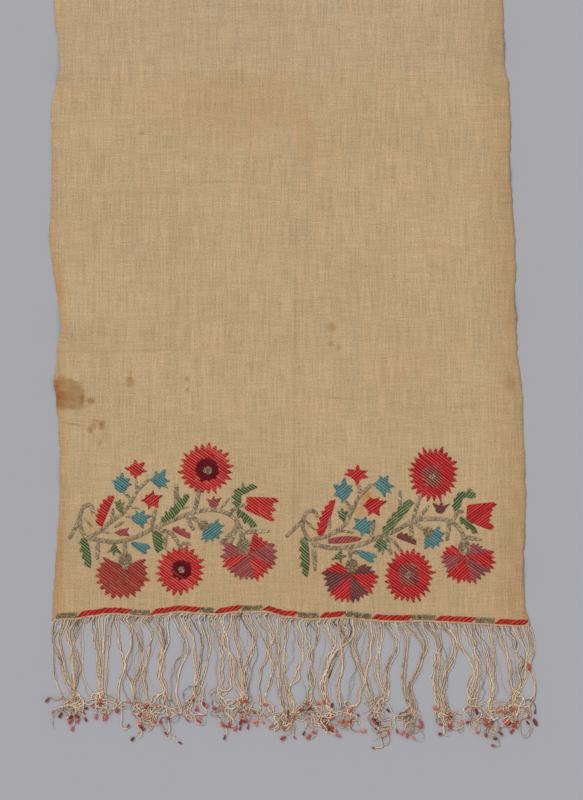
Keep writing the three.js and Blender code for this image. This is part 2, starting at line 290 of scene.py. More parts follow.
# ---------------------------------------------------------------- materials
class Nodes:
    """A small writer of shader nodes."""

    def __init__(self, name):
        self.mat = bpy.data.materials.new(name)
        self.mat.use_nodes = True
        self.tree = self.mat.node_tree
        self.tree.nodes.clear()
        self.out = self.node("ShaderNodeOutputMaterial")
        self.bsdf = self.node("ShaderNodeBsdfPrincipled")
        self.link(self.bsdf.outputs[0], self.out.inputs["Surface"])

    def node(self, kind, **settings):
        n = self.tree.nodes.new(kind)
        for k, v in settings.items():
            setattr(n, k, v)
        return n

    def link(self, a, b):
        self.tree.links.new(a, b)

    def put(self, socket, value):
        if isinstance(value, bpy.types.NodeSocket):
            self.link(value, socket)
        elif value is not None:
            socket.default_value = value

    def math(self, op, a, b=None, c=None, clamp=False):
        n = self.node("ShaderNodeMath", operation=op, use_clamp=clamp)
        for s, v in zip(n.inputs, (a, b, c)):
            self.put(s, v)
        return n.outputs[0]

    def vector(self, op, a, b=None, scale=None):
        n = self.node("ShaderNodeVectorMath", operation=op)
        self.put(n.inputs[0], a)
        self.put(n.inputs[1], b)
        if scale is not None:
            self.put(n.inputs["Scale"], scale)
        return n.outputs["Value" if op in ("LENGTH", "DISTANCE", "DOT_PRODUCT") else "Vector"]

    def range(self, value, a, b, c=0.0, d=1.0, smooth=True):
        n = self.node("ShaderNodeMapRange", interpolation_type="SMOOTHSTEP" if smooth else "LINEAR")
        for s, v in zip(n.inputs[:5], (value, a, b, c, d)):
            self.put(s, v)
        return n.outputs[0]

    def mix(self, fac, a, b, blend="MIX"):
        n = self.node("ShaderNodeMix", data_type="RGBA", blend_type=blend)
        self.put(n.inputs[0], fac)
        self.put(n.inputs[6], a)
        self.put(n.inputs[7], b)
        return n.outputs[2]

    def noise(self, vector, scale=1.0, detail=2.0, rough=0.55, w=None):
        n = self.node("ShaderNodeTexNoise", noise_dimensions="3D")
        self.put(n.inputs["Vector"], vector)
        n.inputs["Scale"].default_value = scale
        n.inputs["Detail"].default_value = detail
        n.inputs["Roughness"].default_value = rough
        return n.outputs[0]

    def streaks(self, mm, sx, sy, offset=0.0, detail=2.0, rough=0.55):
        """Noise stretched along one thread direction, about -1 to 1."""
        n = self.node("ShaderNodeMapping")
        self.put(n.inputs["Vector"], mm)
        n.inputs["Scale"].default_value = (sx, sy, 0.02)
        n.inputs["Location"].default_value = (offset, offset * 0.7, offset * 0.3)
        return self.math("MULTIPLY_ADD", self.noise(n.outputs[0], 1.0, detail, rough), 4.0, -2.0)

    def millimetres(self):
        """Place on the towel in the tables' millimetres."""
        c = self.node("ShaderNodeTexCoord")
        n = self.node("ShaderNodeMapping")
        self.put(n.inputs["Vector"], c.outputs["Object"])
        n.inputs["Scale"].default_value = (1000, 1000, 1000)
        n.inputs["Location"].default_value = (-SHIFT_X, -SHIFT_Y, 0)
        return n.outputs[0]

    def attribute(self, name):
        return self.node("ShaderNodeAttribute", attribute_name=name).outputs["Fac"]

    def bump(self, height, distance, strength=1.0, normal=None):
        n = self.node("ShaderNodeBump")
        n.inputs["Strength"].default_value = strength
        n.inputs["Distance"].default_value = distance
        self.put(n.inputs["Height"], height)
        self.put(n.inputs["Normal"], normal)
        return n.outputs[0]


def rgb(r, g, b):
    """A linear colour from an sRGB one of 0 to 255."""
    def one(v):
        v /= 255
        return v / 12.92 if v <= 0.04045 else ((v + 0.055) / 1.055) ** 2.4
    return (one(r), one(g), one(b), 1.0)


# Old marks: x, y, half width, half height, angle, softness, strength, kind
MARKS = [
    (-224, 229, 17, 13, -24, 0.20, 0.70, "brown"), (-219, 221, 14, 10, -6, 0.15, 0.70, "brown"),
    (-219, 213.5, 14, 3.4, -3, 0.4, 0.42, "brown"), (-212, 224, 7, 4, -30, 0.5, 0.30, "brown"),
    (-230, 222, 9, 11, 0, 0.4, 0.80, "brown"),
    (-232, 228, 6, 19, 4, 0.5, 0.34, "rust"), (-200, 219, 4.2, 3.4, 35, 0.5, 0.80, "brown"),
    (-201, 190.5, 2.8, 3.6, 15, 0.5, 0.70, "brown"), (-197, 194, 2.6, 3.4, 20, 0.5, 0.60, "brown"),
    (-189, 195, 3.2, 4.6, 0, 0.5, 0.72, "brown"), (-194, 199, 5.5, 1.8, -12, 0.6, 0.5, "brown"),
    (-218, 196, 10, 1.2, -9, 0.8, 0.42, "brown"), (-191, 177, 1.6, 3.4, -8, 0.7, 0.42, "brown"),
    (-161, 238.5, 4.0, 5.6, 12, 0.5, 0.55, "brown"), (-161, 247, 1.4, 3.0, 0, 0.6, 0.35, "brown"),
    (-104, 241, 2.4, 2.4, 0, 0.6, 0.50, "brown"), (-103, 230, 2.0, 2.2, 0, 0.6, 0.45, "brown"),
    (41, 293, 4.6, 4.0, 10, 0.6, 0.42, "brown"), (40, 276, 3.2, 2.8, 0, 0.6, 0.38, "brown"),
    (47, 272, 2.6, 2.8, 0, 0.6, 0.38, "brown"), (-150, 487, 2.6, 2.2, 20, 0.6, 0.40, "brown"),
    (189, 337, 1.5, 1.6, 0, 0.7, 0.40, "brown"), (146, 605, 1.6, 1.5, 0, 0.7, 0.35, "brown"),
    (-87, 310, 1.4, 1.6, 0, 0.7, 0.35, "brown"), (-43, 256, 1.5, 1.4, 0, 0.7, 0.32, "brown"),
    (-105, 462, 1.3, 1.3, 0, 0.7, 0.35, "brown"), (133, 523, 1.5, 1.5, 0, 0.7, 0.35, "brown"),
    (219, 237, 5.5, 7, 0, 0.7, 0.40, "brown"), (-172, 538, 0.8, 17, 4, 0.9, 0.22, "brown"),
    (75, 121, 5.0, 10.0, -22, 0.35, 0.80, "rust"), (79, 116, 8.0, 10.0, 0, 0.4, 0.42, "rust"),
    (69, 109, 5.5, 6.0, 0, 0.5, 0.60, "rust"), (15, 92, 4.5, 4.0, 0, 0.6, 0.22, "rust"),
    (-200, 91, 5, 7, 0, 0.8, 0.30, "rust"), (15, 481, 11, 30, 2, 0.7, 0.22, "rust"),
    (-56, 514, 78, 30, 0, 0.6, 0.16, "rust"), (-234, 320, 6, 40, 0, 0.8, 0.32, "rust"),
    (-234, 60, 6, 60, 0, 0.8, 0.35, "rust"), (-233, 160, 5, 46, 0, 0.8, 0.30, "rust"),
    (-217, 15, 12.5, 5, -6, 0.25, 0.34, "pale"), (-198, 595, 8, 7.2, 2, 0.25, 0.20, "pink"),
    (48, 222, 16, 1.3, -4, 0.9, 0.20, "brown"), (171, 214, 22, 1.4, 8, 0.9, 0.18, "brown"),
    (-29, 40, 2.0, 2.2, 0, 0.6, 0.45, "pink"), (-60, -4, 1, 1, 0, 0.6, 0.01, "pale"),
    (39, 609, 14, 9, 0, 0.8, 0.30, "grey"), (-171, 269, 64, 0.9, 1, 0.9, 0.20, "brown"),
    (-83, 438, 30, 1.0, 1, 0.9, 0.28, "brown"), (109, 514, 118, 0.9, 0.6, 0.8, 0.34, "pale"),
    (60, 60, 60, 30, 12, 0.9, 0.10, "rust"), (110, 250, 40, 26, 30, 0.9, 0.09, "rust"),
]
MARK_TINTS = {  # what each kind does to the cloth's colour
    "brown": (0.60, 0.41, 0.22), "rust": (0.90, 0.62, 0.36), "pale": (1.10, 1.08, 1.02),
    "pink": (1.02, 0.80, 0.80), "grey": (0.94, 1.02, 1.10),
}
CLOTH_TONE = rgb(184, 158, 122)


def marks(k, mm, warp, weft):
    """For each kind of old mark, how strong it is here."""
    wobble = k.node("ShaderNodeTexNoise", noise_dimensions="3D")
    k.put(wobble.inputs["Vector"], mm)
    wobble.inputs["Scale"].default_value = 0.22
    wobble.inputs["Detail"].default_value = 3.0
    ragged = k.vector("MULTIPLY_ADD", wobble.outputs["Color"], (5.0, 5.0, 0.0))
    ragged.node.inputs[2].default_value = (-2.5, -2.5, 0.0)
    # the dye has crept along the threads
    crept = k.node("ShaderNodeCombineXYZ")
    k.put(crept.inputs[0], k.math("MULTIPLY", weft, 2.6))
    k.put(crept.inputs[1], k.math("MULTIPLY", warp, 2.2))
    ragged = k.vector("ADD", ragged, crept.outputs[0])
    small = k.vector("SCALE", ragged, scale=0.5)
    by_kind = {}
    for x, y, rx, ry, angle, softness, strength, kind in MARKS:
        n = k.node("ShaderNodeMapping", vector_type="TEXTURE")
        if min(rx, ry) < 1.6:
            k.put(n.inputs["Vector"], mm)
        else:
            k.put(n.inputs["Vector"], k.vector("ADD", mm, ragged if min(rx, ry) > 4 else small))
        n.inputs["Location"].default_value = (x, y, 0)
        n.inputs["Rotation"].default_value = (0, 0, math.radians(angle))
        n.inputs["Scale"].default_value = (rx, ry, 1e6)
        far = k.vector("LENGTH", n.outputs[0])
        here = k.range(far, 1 + softness, 1 - softness, 0.0, strength)
        by_kind[kind] = here if kind not in by_kind else k.math("MAXIMUM", by_kind[kind], here)
    return by_kind


def weave(k, mm):
    """Plain weave of uneven hand-spun thread: warp along Y, weft along X."""
    sway = k.streaks(mm, 0.03, 0.03, 3.0, 1.0)
    x = k.node("ShaderNodeSeparateXYZ")
    k.put(x.inputs[0], mm)
    px = k.math("MULTIPLY_ADD", sway, 0.5, x.outputs[0])
    py = k.math("MULTIPLY_ADD", sway, 0.7, x.outputs[1])
    warp = k.math("SINE", k.math("MULTIPLY", px, 2 * math.pi / 0.74))
    weft = k.math("SINE", k.math("MULTIPLY", py, 2 * math.pi / 0.80))
    over = k.math("MULTIPLY", k.math("SINE", k.math("MULTIPLY", px, math.pi / 0.74)),
                  k.math("SINE", k.math("MULTIPLY", py, math.pi / 0.80)))
    threads = k.math("ADD", k.math("MULTIPLY", k.math("ADD", warp, weft), 0.25),
                     k.math("MULTIPLY", over, 0.45))
    return threads


def cloth_material():
    k = Nodes("slubby_cloth")
    mm = k.millimetres()
    threads = weave(k, mm)
    warp = k.streaks(mm, 0.66, 0.030, 10.0, 3.0, 0.6)
    weft = k.streaks(mm, 0.045, 0.62, 20.0, 3.0, 0.6)
    warp_wide = k.streaks(mm, 0.16, 0.006, 30.0, 2.0)
    weft_wide = k.streaks(mm, 0.006, 0.13, 40.0, 2.0)
    grain = k.streaks(mm, 0.80, 0.95, 50.0, 2.0, 0.7)
    cloud = k.streaks(mm, 0.011, 0.011, 60.0, 3.0, 0.5)
    cloud_hue = k.math("ADD", k.math("MULTIPLY", k.streaks(mm, 0.07, 0.045, 70.0, 2.0), 0.45),
                       k.math("MULTIPLY", k.streaks(mm, 0.66, 0.40, 75.0, 2.0), 0.80))
    slub = k.range(k.streaks(mm, 0.045, 1.05, 80.0, 1.0), 0.62, 1.1)
    slub_warp = k.range(k.streaks(mm, 1.1, 0.05, 90.0, 1.0), 0.66, 1.1)

    tone = k.math("MULTIPLY", warp, 0.165)
    for value, share in ((weft, 0.115), (warp_wide, 0.036), (weft_wide, 0.026), (grain, 0.31),
                         (cloud, 0.034), (threads, 0.18), (slub, 0.13), (slub_warp, 0.11)):
        tone = k.math("MULTIPLY_ADD", value, share, tone)
    bright = k.math("ADD", tone, 1.0)

    yellow = k.mix(k.range(k.math("ADD", cloud_hue, k.math("MULTIPLY", warp_wide, 0.25)), -0.9, 0.9),
                   (0.97, 1.01, 1.045, 1), (1.03, 0.99, 0.955, 1))
    colour = k.mix(1.0, CLOTH_TONE, yellow, "MULTIPLY")

    up = k.attribute("up_mm")
    edge = k.attribute("edge_mm")
    side = k.attribute("side")
    far_part = k.range(up, 543, 552)
    colour = k.mix(far_part, colour, k.mix(1.0, colour, (0.985, 1.0, 1.035, 1), "MULTIPLY"))
    near_part = k.range(up, 230, 20)
    colour = k.mix(near_part, colour, k.mix(1.0, colour, (0.958, 0.930, 0.907, 1), "MULTIPLY"))
    # the right side is a little darker, and both selvedges are warmer
    right_zone = k.math("MULTIPLY", k.range(edge, 44, 3), k.range(side, 0.0, 0.4))
    colour = k.mix(k.math("MULTIPLY", right_zone, 0.95), colour,
                   k.mix(1.0, colour, (0.885, 0.848, 0.785, 1), "MULTIPLY"))
    rim = k.math("MULTIPLY", k.range(edge, 11, 1.5), k.range(up, 640, 300, 0.45, 1.0))
    rim = k.math("MULTIPLY", rim, k.math("MULTIPLY_ADD", weft_wide, 0.25, 0.75))
    rim = k.math("MULTIPLY", rim, k.range(side, -0.4, 0.4, 1.0, 0.35))
    colour = k.mix(rim, colour, k.mix(1.0, colour, (0.93, 0.82, 0.66, 1), "MULTIPLY"))

    blotch = k.streaks(mm, 0.14, 0.14, 15.0, 2.0)
    for kind, here in marks(k, mm, warp, weft).items():
        uneven = k.math("MULTIPLY", here, k.math("MULTIPLY_ADD", k.math("ADD", k.math("ADD", warp, weft), grain), 0.42, 0.95))
        uneven = k.math("MULTIPLY", uneven, k.math("MULTIPLY_ADD", blotch, 0.30, 1.0))
        uneven = k.math("MINIMUM", k.math("MAXIMUM", uneven, 0.0), 1.0)
        colour = k.mix(uneven, colour, k.mix(1.0, colour, (*MARK_TINTS[kind], 1), "MULTIPLY"))

    # painted shade in the old fold down the middle and in the one beside it: the cloth is drawn darker along both
    # crease lines
    split = k.node("ShaderNodeSeparateXYZ")
    k.put(split.inputs[0], mm)
    fold_x = k.math("MULTIPLY_ADD", split.outputs[1], -0.011, k.math("SUBTRACT", split.outputs[0], 1.0))
    fold_x = k.math("MULTIPLY_ADD", k.streaks(mm, 0.0, 0.05, 5.0, 2.0), 0.5, fold_x)
    line = k.range(k.math("ABSOLUTE", fold_x), 1.8, 0.4)
    line = k.math("MULTIPLY", line, k.range(k.math("ABSOLUTE", k.math("SUBTRACT", split.outputs[1], 205.0)), 225, 120, 0.0, 0.10))
    second_fold_shade = k.range(k.math("ABSOLUTE", k.math("ADD", split.outputs[0], 121.0)), 1.5, 0.4)
    second_fold_shade = k.math("MULTIPLY", second_fold_shade, k.range(k.math("ABSOLUTE", k.math("SUBTRACT", split.outputs[1], 335.0)), 140, 90, 0.0, 0.06))
    # the painted shade of both creases is taken off the cloth's brightness here
    bright = k.math("SUBTRACT", bright, k.math("ADD", line, second_fold_shade))
    n = k.node("ShaderNodeVectorMath", operation="SCALE")
    k.put(n.inputs[0], colour)
    k.put(n.inputs["Scale"], bright)
    k.link(n.outputs[0], k.bsdf.inputs["Base Color"])

    height = k.math("MULTIPLY_ADD", threads, 0.5, k.math("MULTIPLY_ADD", k.math("ADD", warp, weft), 0.35, k.math("MULTIPLY", k.math("ADD", slub, slub_warp), 0.8)))
    k.link(k.bump(height, 0.00012, 0.55), k.bsdf.inputs["Normal"])
    k.bsdf.inputs["Roughness"].default_value = 0.92
    k.bsdf.inputs["Specular IOR Level"].default_value = 0.25
    k.bsdf.inputs["Sheen Weight"].default_value = 0.08
    k.bsdf.inputs["Sheen Roughness"].default_value = 0.5
    return k.mat


# ---------------------------------------------------------------- stitches
class Stitches:
    """Straight stitches of one kind, collected for one joined mesh."""

    def __init__(self, name, seed):
        self.name, self.rows = name, []
        self.random = np.random.default_rng(seed)

    def add(self, x0, y0, x1, y1, width, height=1.0, tone=0.0, blunt=0.55, rise=0.0):
        self.rows.append((x0, y0, x1, y1, width, height, tone, blunt, rise))

    def build(self, sides=6, short=3.4, long=8.0):
        """One mesh: a stitch gets two, four or seven rings of points, by its length."""
        rows = np.array(self.rows)
        size = np.hypot(rows[:, 2] - rows[:, 0], rows[:, 3] - rows[:, 1])
        flats, faces3, faces4, tones, us, vs = [], [], [], [], [], []
        turn = (np.arange(sides) + 0.5) * 2 * math.pi / sides
        c, sn = np.cos(turn), np.sin(turn)
        start = 0
        for group, at in ((size > long, (0.05, 0.19, 0.35, 0.5, 0.65, 0.81, 0.95)),
                          ((size > short) & (size <= long), (0.08, 0.32, 0.68, 0.92)), (size <= short, (0.28, 0.72))):
            s = rows[group]
            n, rings = len(s), len(at)
            if n == 0:
                continue
            t = np.array([0.0, *at, 1.0])
            x0, y0, x1, y1 = s[:, 0], s[:, 1], s[:, 2], s[:, 3]
            px = x0[:, None] + (x1 - x0)[:, None] * t
            py = y0[:, None] + (y1 - y0)[:, None] * t
            rise = np.interp(t, (0, 0.12, 0.88, 1), (0.2, 1, 1, 0.2))
            mid = ground(px, py) + SHEET_T / 2 + s[:, 8][:, None] * rise
            length = size[group]
            nx, ny = -(y1 - y0) / length, (x1 - x0) / length
            blocks = [np.stack([px[:, 0], py[:, 0], mid[:, 0]], -1)[:, None]]
            for k in range(1, rings + 1):
                full = s[:, 7] if rings > 2 and k in (1, rings) else np.ones(n)
                half_w, half_h = s[:, 4] / 2 * full, s[:, 5] / 2 * (0.45 + 0.55 * full)
                blocks.append(np.stack([
                    px[:, k, None] + nx[:, None] * half_w[:, None] * c,
                    py[:, k, None] + ny[:, None] * half_w[:, None] * c,
                    np.maximum(mid[:, k, None] + half_h[:, None] * sn, 0.015)], -1))
            blocks.append(np.stack([px[:, -1], py[:, -1], mid[:, -1]], -1)[:, None])
            body = np.concatenate(blocks, 1)
            per = body.shape[1]
            flats.append(body.reshape(-1, 3))
            j = np.arange(sides)
            jn = (j + 1) % sides
            first = np.stack([np.zeros(sides, int), 1 + j, 1 + jn], -1)
            end = 1 + (rings - 1) * sides
            last = np.stack([np.full(sides, per - 1), end + jn, end + j], -1)
            quads = np.concatenate([
                np.stack([1 + r * sides + j, 1 + (r + 1) * sides + j, 1 + (r + 1) * sides + jn, 1 + r * sides + jn], -1)
                for r in range(rings - 1)])
            base = (np.arange(n) * per)[:, None, None] + start
            faces3.append((np.concatenate([first, last])[None] + base).reshape(-1, 3))
            faces4.append((quads[None] + base).reshape(-1, 4))
            start += n * per
            tones.append(np.repeat(s[:, 6], per))
            # thread map: along the stitch in mm, across it from -1 to 1
            run = np.concatenate([[0], np.repeat(at, sides), [1.0]])
            us.append(((self.random.random(n) * 400)[:, None] + length[:, None] * run).ravel())
            cross = np.concatenate([[0], np.tile(c, rings), [0]])
            vs.append(np.repeat(cross[None], n, 0).ravel() + np.repeat(self.random.random(n) * 60, per))
        flat = np.concatenate(flats)
        ob = mesh_object(self.name, place(flat[:, 0], flat[:, 1], flat[:, 2]),
                         [np.concatenate(faces3), np.concatenate(faces4)])
        point_values(ob, "tone", np.concatenate(tones))
        at_corner = corner_points(ob)
        planar_map(ob, flat, at_corner)
        corner_map(ob, "thread", np.stack([np.concatenate(us)[at_corner], np.concatenate(vs)[at_corner]], -1))
        return ob


def planar_map(ob, flat, at_corner):
    """Top faces in one chart, faces that look down in another beside it."""
    me = ob.data
    normals = np.empty(len(me.polygons) * 3, np.float32)
    me.polygons.foreach_get("normal", normals)
    totals = np.empty(len(me.polygons), np.int32)
    me.polygons.foreach_get("loop_total", totals)
    down = np.repeat(normals.reshape(-1, 3)[:, 2] < 0, totals)
    x, y = flat[at_corner, 0], flat[at_corner, 1]
    x0, y0, wide, tall = flat[:, 0].min(), flat[:, 1].min(), np.ptp(flat[:, 0]), np.ptp(flat[:, 1])
    if wide > tall:
        s = 0.98 / max(wide + 4, 2 * tall + 12)
        uv = np.stack([(x - x0) * s + 0.005, (y - y0 + down * (tall + 6)) * s + 0.005], -1)
    else:
        s = 0.98 / max(2 * wide + 12, tall + 4)
        uv = np.stack([(x - x0 + down * (wide + 6)) * s + 0.005, (y - y0) * s + 0.005], -1)
    corner_map(ob, "OFBake", uv)


PITCH = 2.45           # from one row of stitches to the next
DOWN, UP = -36.0, 38.0  # the two leans of the rows


def fill(kit, inside, box, lean, pitch=PITCH, strands=3, cover=0.80, height=1.0, longest=19.0,
         tone=0.0, spread=0.34, reach=0.75, phase=None, under=0.0, lift=0.62):
    """Fills a shape with parallel rows of flat stitches, each row a few strands."""
    r = kit.random
    a = math.radians(lean)
    dx, dy = math.cos(a), math.sin(a)
    x0, y0, x1, y1 = box
    cx, cy, span = (x0 + x1) / 2, (y0 + y1) / 2, math.hypot(x1 - x0, y1 - y0) / 2 + 2
    s = np.arange(-span, span, 0.15)
    shift = r.random() if phase is None else phase
    k = -int(span / pitch) - 1
    wide = pitch * cover / strands
    while k * pitch < span:
        row = (k + shift) * pitch + r.normal(0, 0.09)
        k += 1
        tilt = r.normal(0, 0.004)
        row_tone = tone + r.normal(0, spread)
        for strand in range(strands + (under > 0)):
            low = strand == strands   # a paler strand that lies lower, between the rows
            o = row + (pitch / 2 if low else (strand - (strands - 1) / 2) * wide)
            px = cx + dx * s - dy * (o + tilt * s)
            py = cy + dy * s + dx * (o + tilt * s)
            m = inside(px, py)
            edges = np.flatnonzero(np.diff(np.concatenate([[0], m.astype(np.int8), [0]])))
            for i, j in zip(edges[::2], edges[1::2]):
                lo, hi = s[i] - reach - r.random() * 0.3, s[min(j, len(s) - 1)] + reach + r.random() * 0.3
                if hi - lo < 0.9:
                    continue
                parts = max(1, int(round((hi - lo) / longest + r.uniform(-0.3, 0.3))))
                cuts = np.arange(parts + 1.0)
                cuts[1:-1] += r.uniform(-0.25, 0.25, parts - 1)
                cuts = lo + (hi - lo) * cuts / parts
                for p, q in zip(cuts[:-1], cuts[1:]):
                    p, q = p - (0.6 if p > lo + 0.01 else 0), q + (0.6 if q < hi - 0.01 else 0)
                    w = 1.0 if low else wide * 1.12 * r.uniform(0.95, 1.04)
                    o0, o1 = o + tilt * p, o + tilt * q
                    kit.add(cx + dx * p - dy * o0, cy + dy * p + dx * o0,
                            cx + dx * q - dy * o1, cy + dy * q + dx * o1,
                            w, 0.76 if low else height, under + r.normal(0, 0.35) if low else row_tone + r.normal(0, spread * 0.6), 0.70, lift)


# ---------------------------------------------------------------- shapes to fill
def tooth(u, lean=0.5):
    f = u - np.floor(u)
    return np.where(f < lean, f / lean, (1 - f) / (1 - lean))


def disc(cx, cy, r0, r1, n, seed, squash=1.0, hole=None, lean=0.42, cut=None, lobes=0.09):
    """A round flower with pointed teeth, perhaps cut off above and with a hole."""
    g = np.random.default_rng(seed)
    long, turn = g.uniform(1 - lobes, 1 + lobes * 0.55, n), g.random()

    def inside(x, y):
        dx, dy = x - cx, (y - cy) / squash
        u = (np.arctan2(dy, dx) / (2 * math.pi) * n + turn) % n
        tip = r0 + (r1 * long[np.floor(u).astype(int) % n] - r0) * tooth(u, lean) ** 1.15
        far = np.hypot(dx, dy)
        m = far < tip
        if hole is not None:
            m &= ~hole(x, y)
        if cut is not None:
            m &= ~cut(x, y)
        return m

    return inside, (cx - r1 * 1.1, cy - r1 * 1.1, cx + r1 * 1.1, cy + r1 * 1.1)


def oval(cx, cy, rx, ry, angle=0.0, power=2.0, hole=None):
    a = math.radians(angle)

    def inside(x, y):
        dx, dy = x - cx, y - cy
        u, v = dx * math.cos(a) + dy * math.sin(a), -dx * math.sin(a) + dy * math.cos(a)
        m = np.abs(u / rx) ** power + np.abs(v / ry) ** power < 1
        return m & ~hole(x, y) if hole is not None else m

    r = max(rx, ry)
    return inside, (cx - r, cy - r, cx + r, cy + r)


def petal(cx, cy, a0, a1, r0, r1, n, seed, r_end=None):
    """A toothed wedge of a half-open flower; r_end is the reach at angle a1."""
    g = np.random.default_rng(seed)
    long = g.uniform(0.93, 1.05, n + 1)
    r_end = r1 if r_end is None else r_end

    def inside(x, y):
        dx, dy = x - cx, y - cy
        a = (np.degrees(np.arctan2(dy, dx)) - a0 + 1.5) % 360
        t = a / (a1 - a0 + 3.0)
        u = np.minimum(t, 0.999) * n
        out = (r1 + (r_end - r1) * t) * long[np.clip(np.floor(u).astype(int), 0, n)]
        ins = out - (r1 - r0) * 0.62
        return (t < 1) & (np.hypot(dx, dy) < ins + (out - ins) * tooth(u, 0.5))

    return inside, (cx - r1 * 1.1, cy - r1 * 1.1, cx + r1 * 1.1, cy + r1 * 1.1)


def bloom(cx, cy, rx, ry, turn, spikes):
    """A small flower: a round body with pointed petals (angle, reach)."""
    body, _ = oval(cx, cy, rx * 0.86, ry * 0.86, turn)

    def inside(x, y):
        m = body(x, y)
        dx, dy = x - cx, y - cy
        for angle, reach in spikes:
            a = math.radians(angle)
            u, v = dx * math.cos(a) + dy * math.sin(a), -dx * math.sin(a) + dy * math.cos(a)
            half = min(rx, ry) * 0.70
            reach *= 1.05
            m |= (u > 0) & (u < reach) & (np.abs(v) < half * (1 - u / reach) + 0.15)
        return m

    r = max([rx, ry] + [s[1] for s in spikes]) + 1
    return inside, (cx - r, cy - r, cx + r, cy + r)


def without(shape, cx, cy, far):
    """A shape with a round bite taken out."""
    inside, box = shape
    return (lambda x, y: inside(x, y) & (np.hypot(x - cx, y - cy) > far)), box


def both(one, two):
    """Two shapes as one."""
    (f, a), (g, b) = one, two
    return (lambda x, y: f(x, y) | g(x, y)), (min(a[0], b[0]), min(a[1], b[1]), max(a[2], b[2]), max(a[3], b[3]))


def blade(x0, y0, x1, y1, width, bow=0.0, teeth=0, side=1, deep=2.6, blunt=0.0):
    """A leaf along a bowed line, serrated on one side."""
    length = math.hypot(x1 - x0, y1 - y0)
    a = math.atan2(y1 - y0, x1 - x0)

    def inside(x, y):
        dx, dy = x - x0, y - y0
        u, v = (dx * math.cos(a) + dy * math.sin(a)) / length, -dx * math.sin(a) + dy * math.cos(a)
        v = v - bow * 4 * u * (1 - u)
        ok = (u > 0) & (u < 1)
        body = width / 2 * np.sin(math.pi * np.clip(0.12 + u * (0.88 - 0.25 * blunt), 0, 1)) ** 0.55
        out = body.copy()
        if teeth:
            out = body * 0.75 + deep * tooth(u * teeth + 0.15, 0.78) * np.clip(1.3 - np.abs(2 * u - 1) ** 3, 0, 1)
        return ok & (v * side < out) & (v * side > -body * (0.62 if teeth else 1.0))

    r = width + deep + abs(bow)
    return inside, (min(x0, x1) - r, min(y0, y1) - r, max(x0, x1) + r, max(y0, y1) + r)


def cup(x, y, heading, length, base, mouth, tips, seed, deep=7.0, skew=0.0):
    """A tulip from the side: widening from its base to a mouth of pointed tips."""
    a = math.radians(heading)
    g = np.random.default_rng(seed)
    long = g.uniform(0.86, 1.0, tips + 1)
    long[0] = long[tips - 1] = 1.0

    def inside(px, py):
        dx, dy = px - x, py - y
        u, v = dx * math.cos(a) + dy * math.sin(a), -dx * math.sin(a) + dy * math.cos(a)
        t = np.clip(u / length, 0, 1)
        half = base / 2 + (mouth - base) / 2 * t ** 0.85
        v = v - skew * t
        w = (v / (2 * half) + 0.5) * tips
        k = np.clip(np.floor(w).astype(int), 0, tips)
        end = length * long[k] - deep * (1 - tooth(w))
        return (u > 0) & (np.abs(v) < half) & (u < end)

    r = length + mouth
    return inside, (x - r, y - r, x + r, y + r)


# ---------------------------------------------------------------- the two sprigs
# Each sprig has its own corner; the numbers below are millimetres from it.
CORNERS = {"left": (-231.0, 20.0), "right": (-5.0, 14.0)}

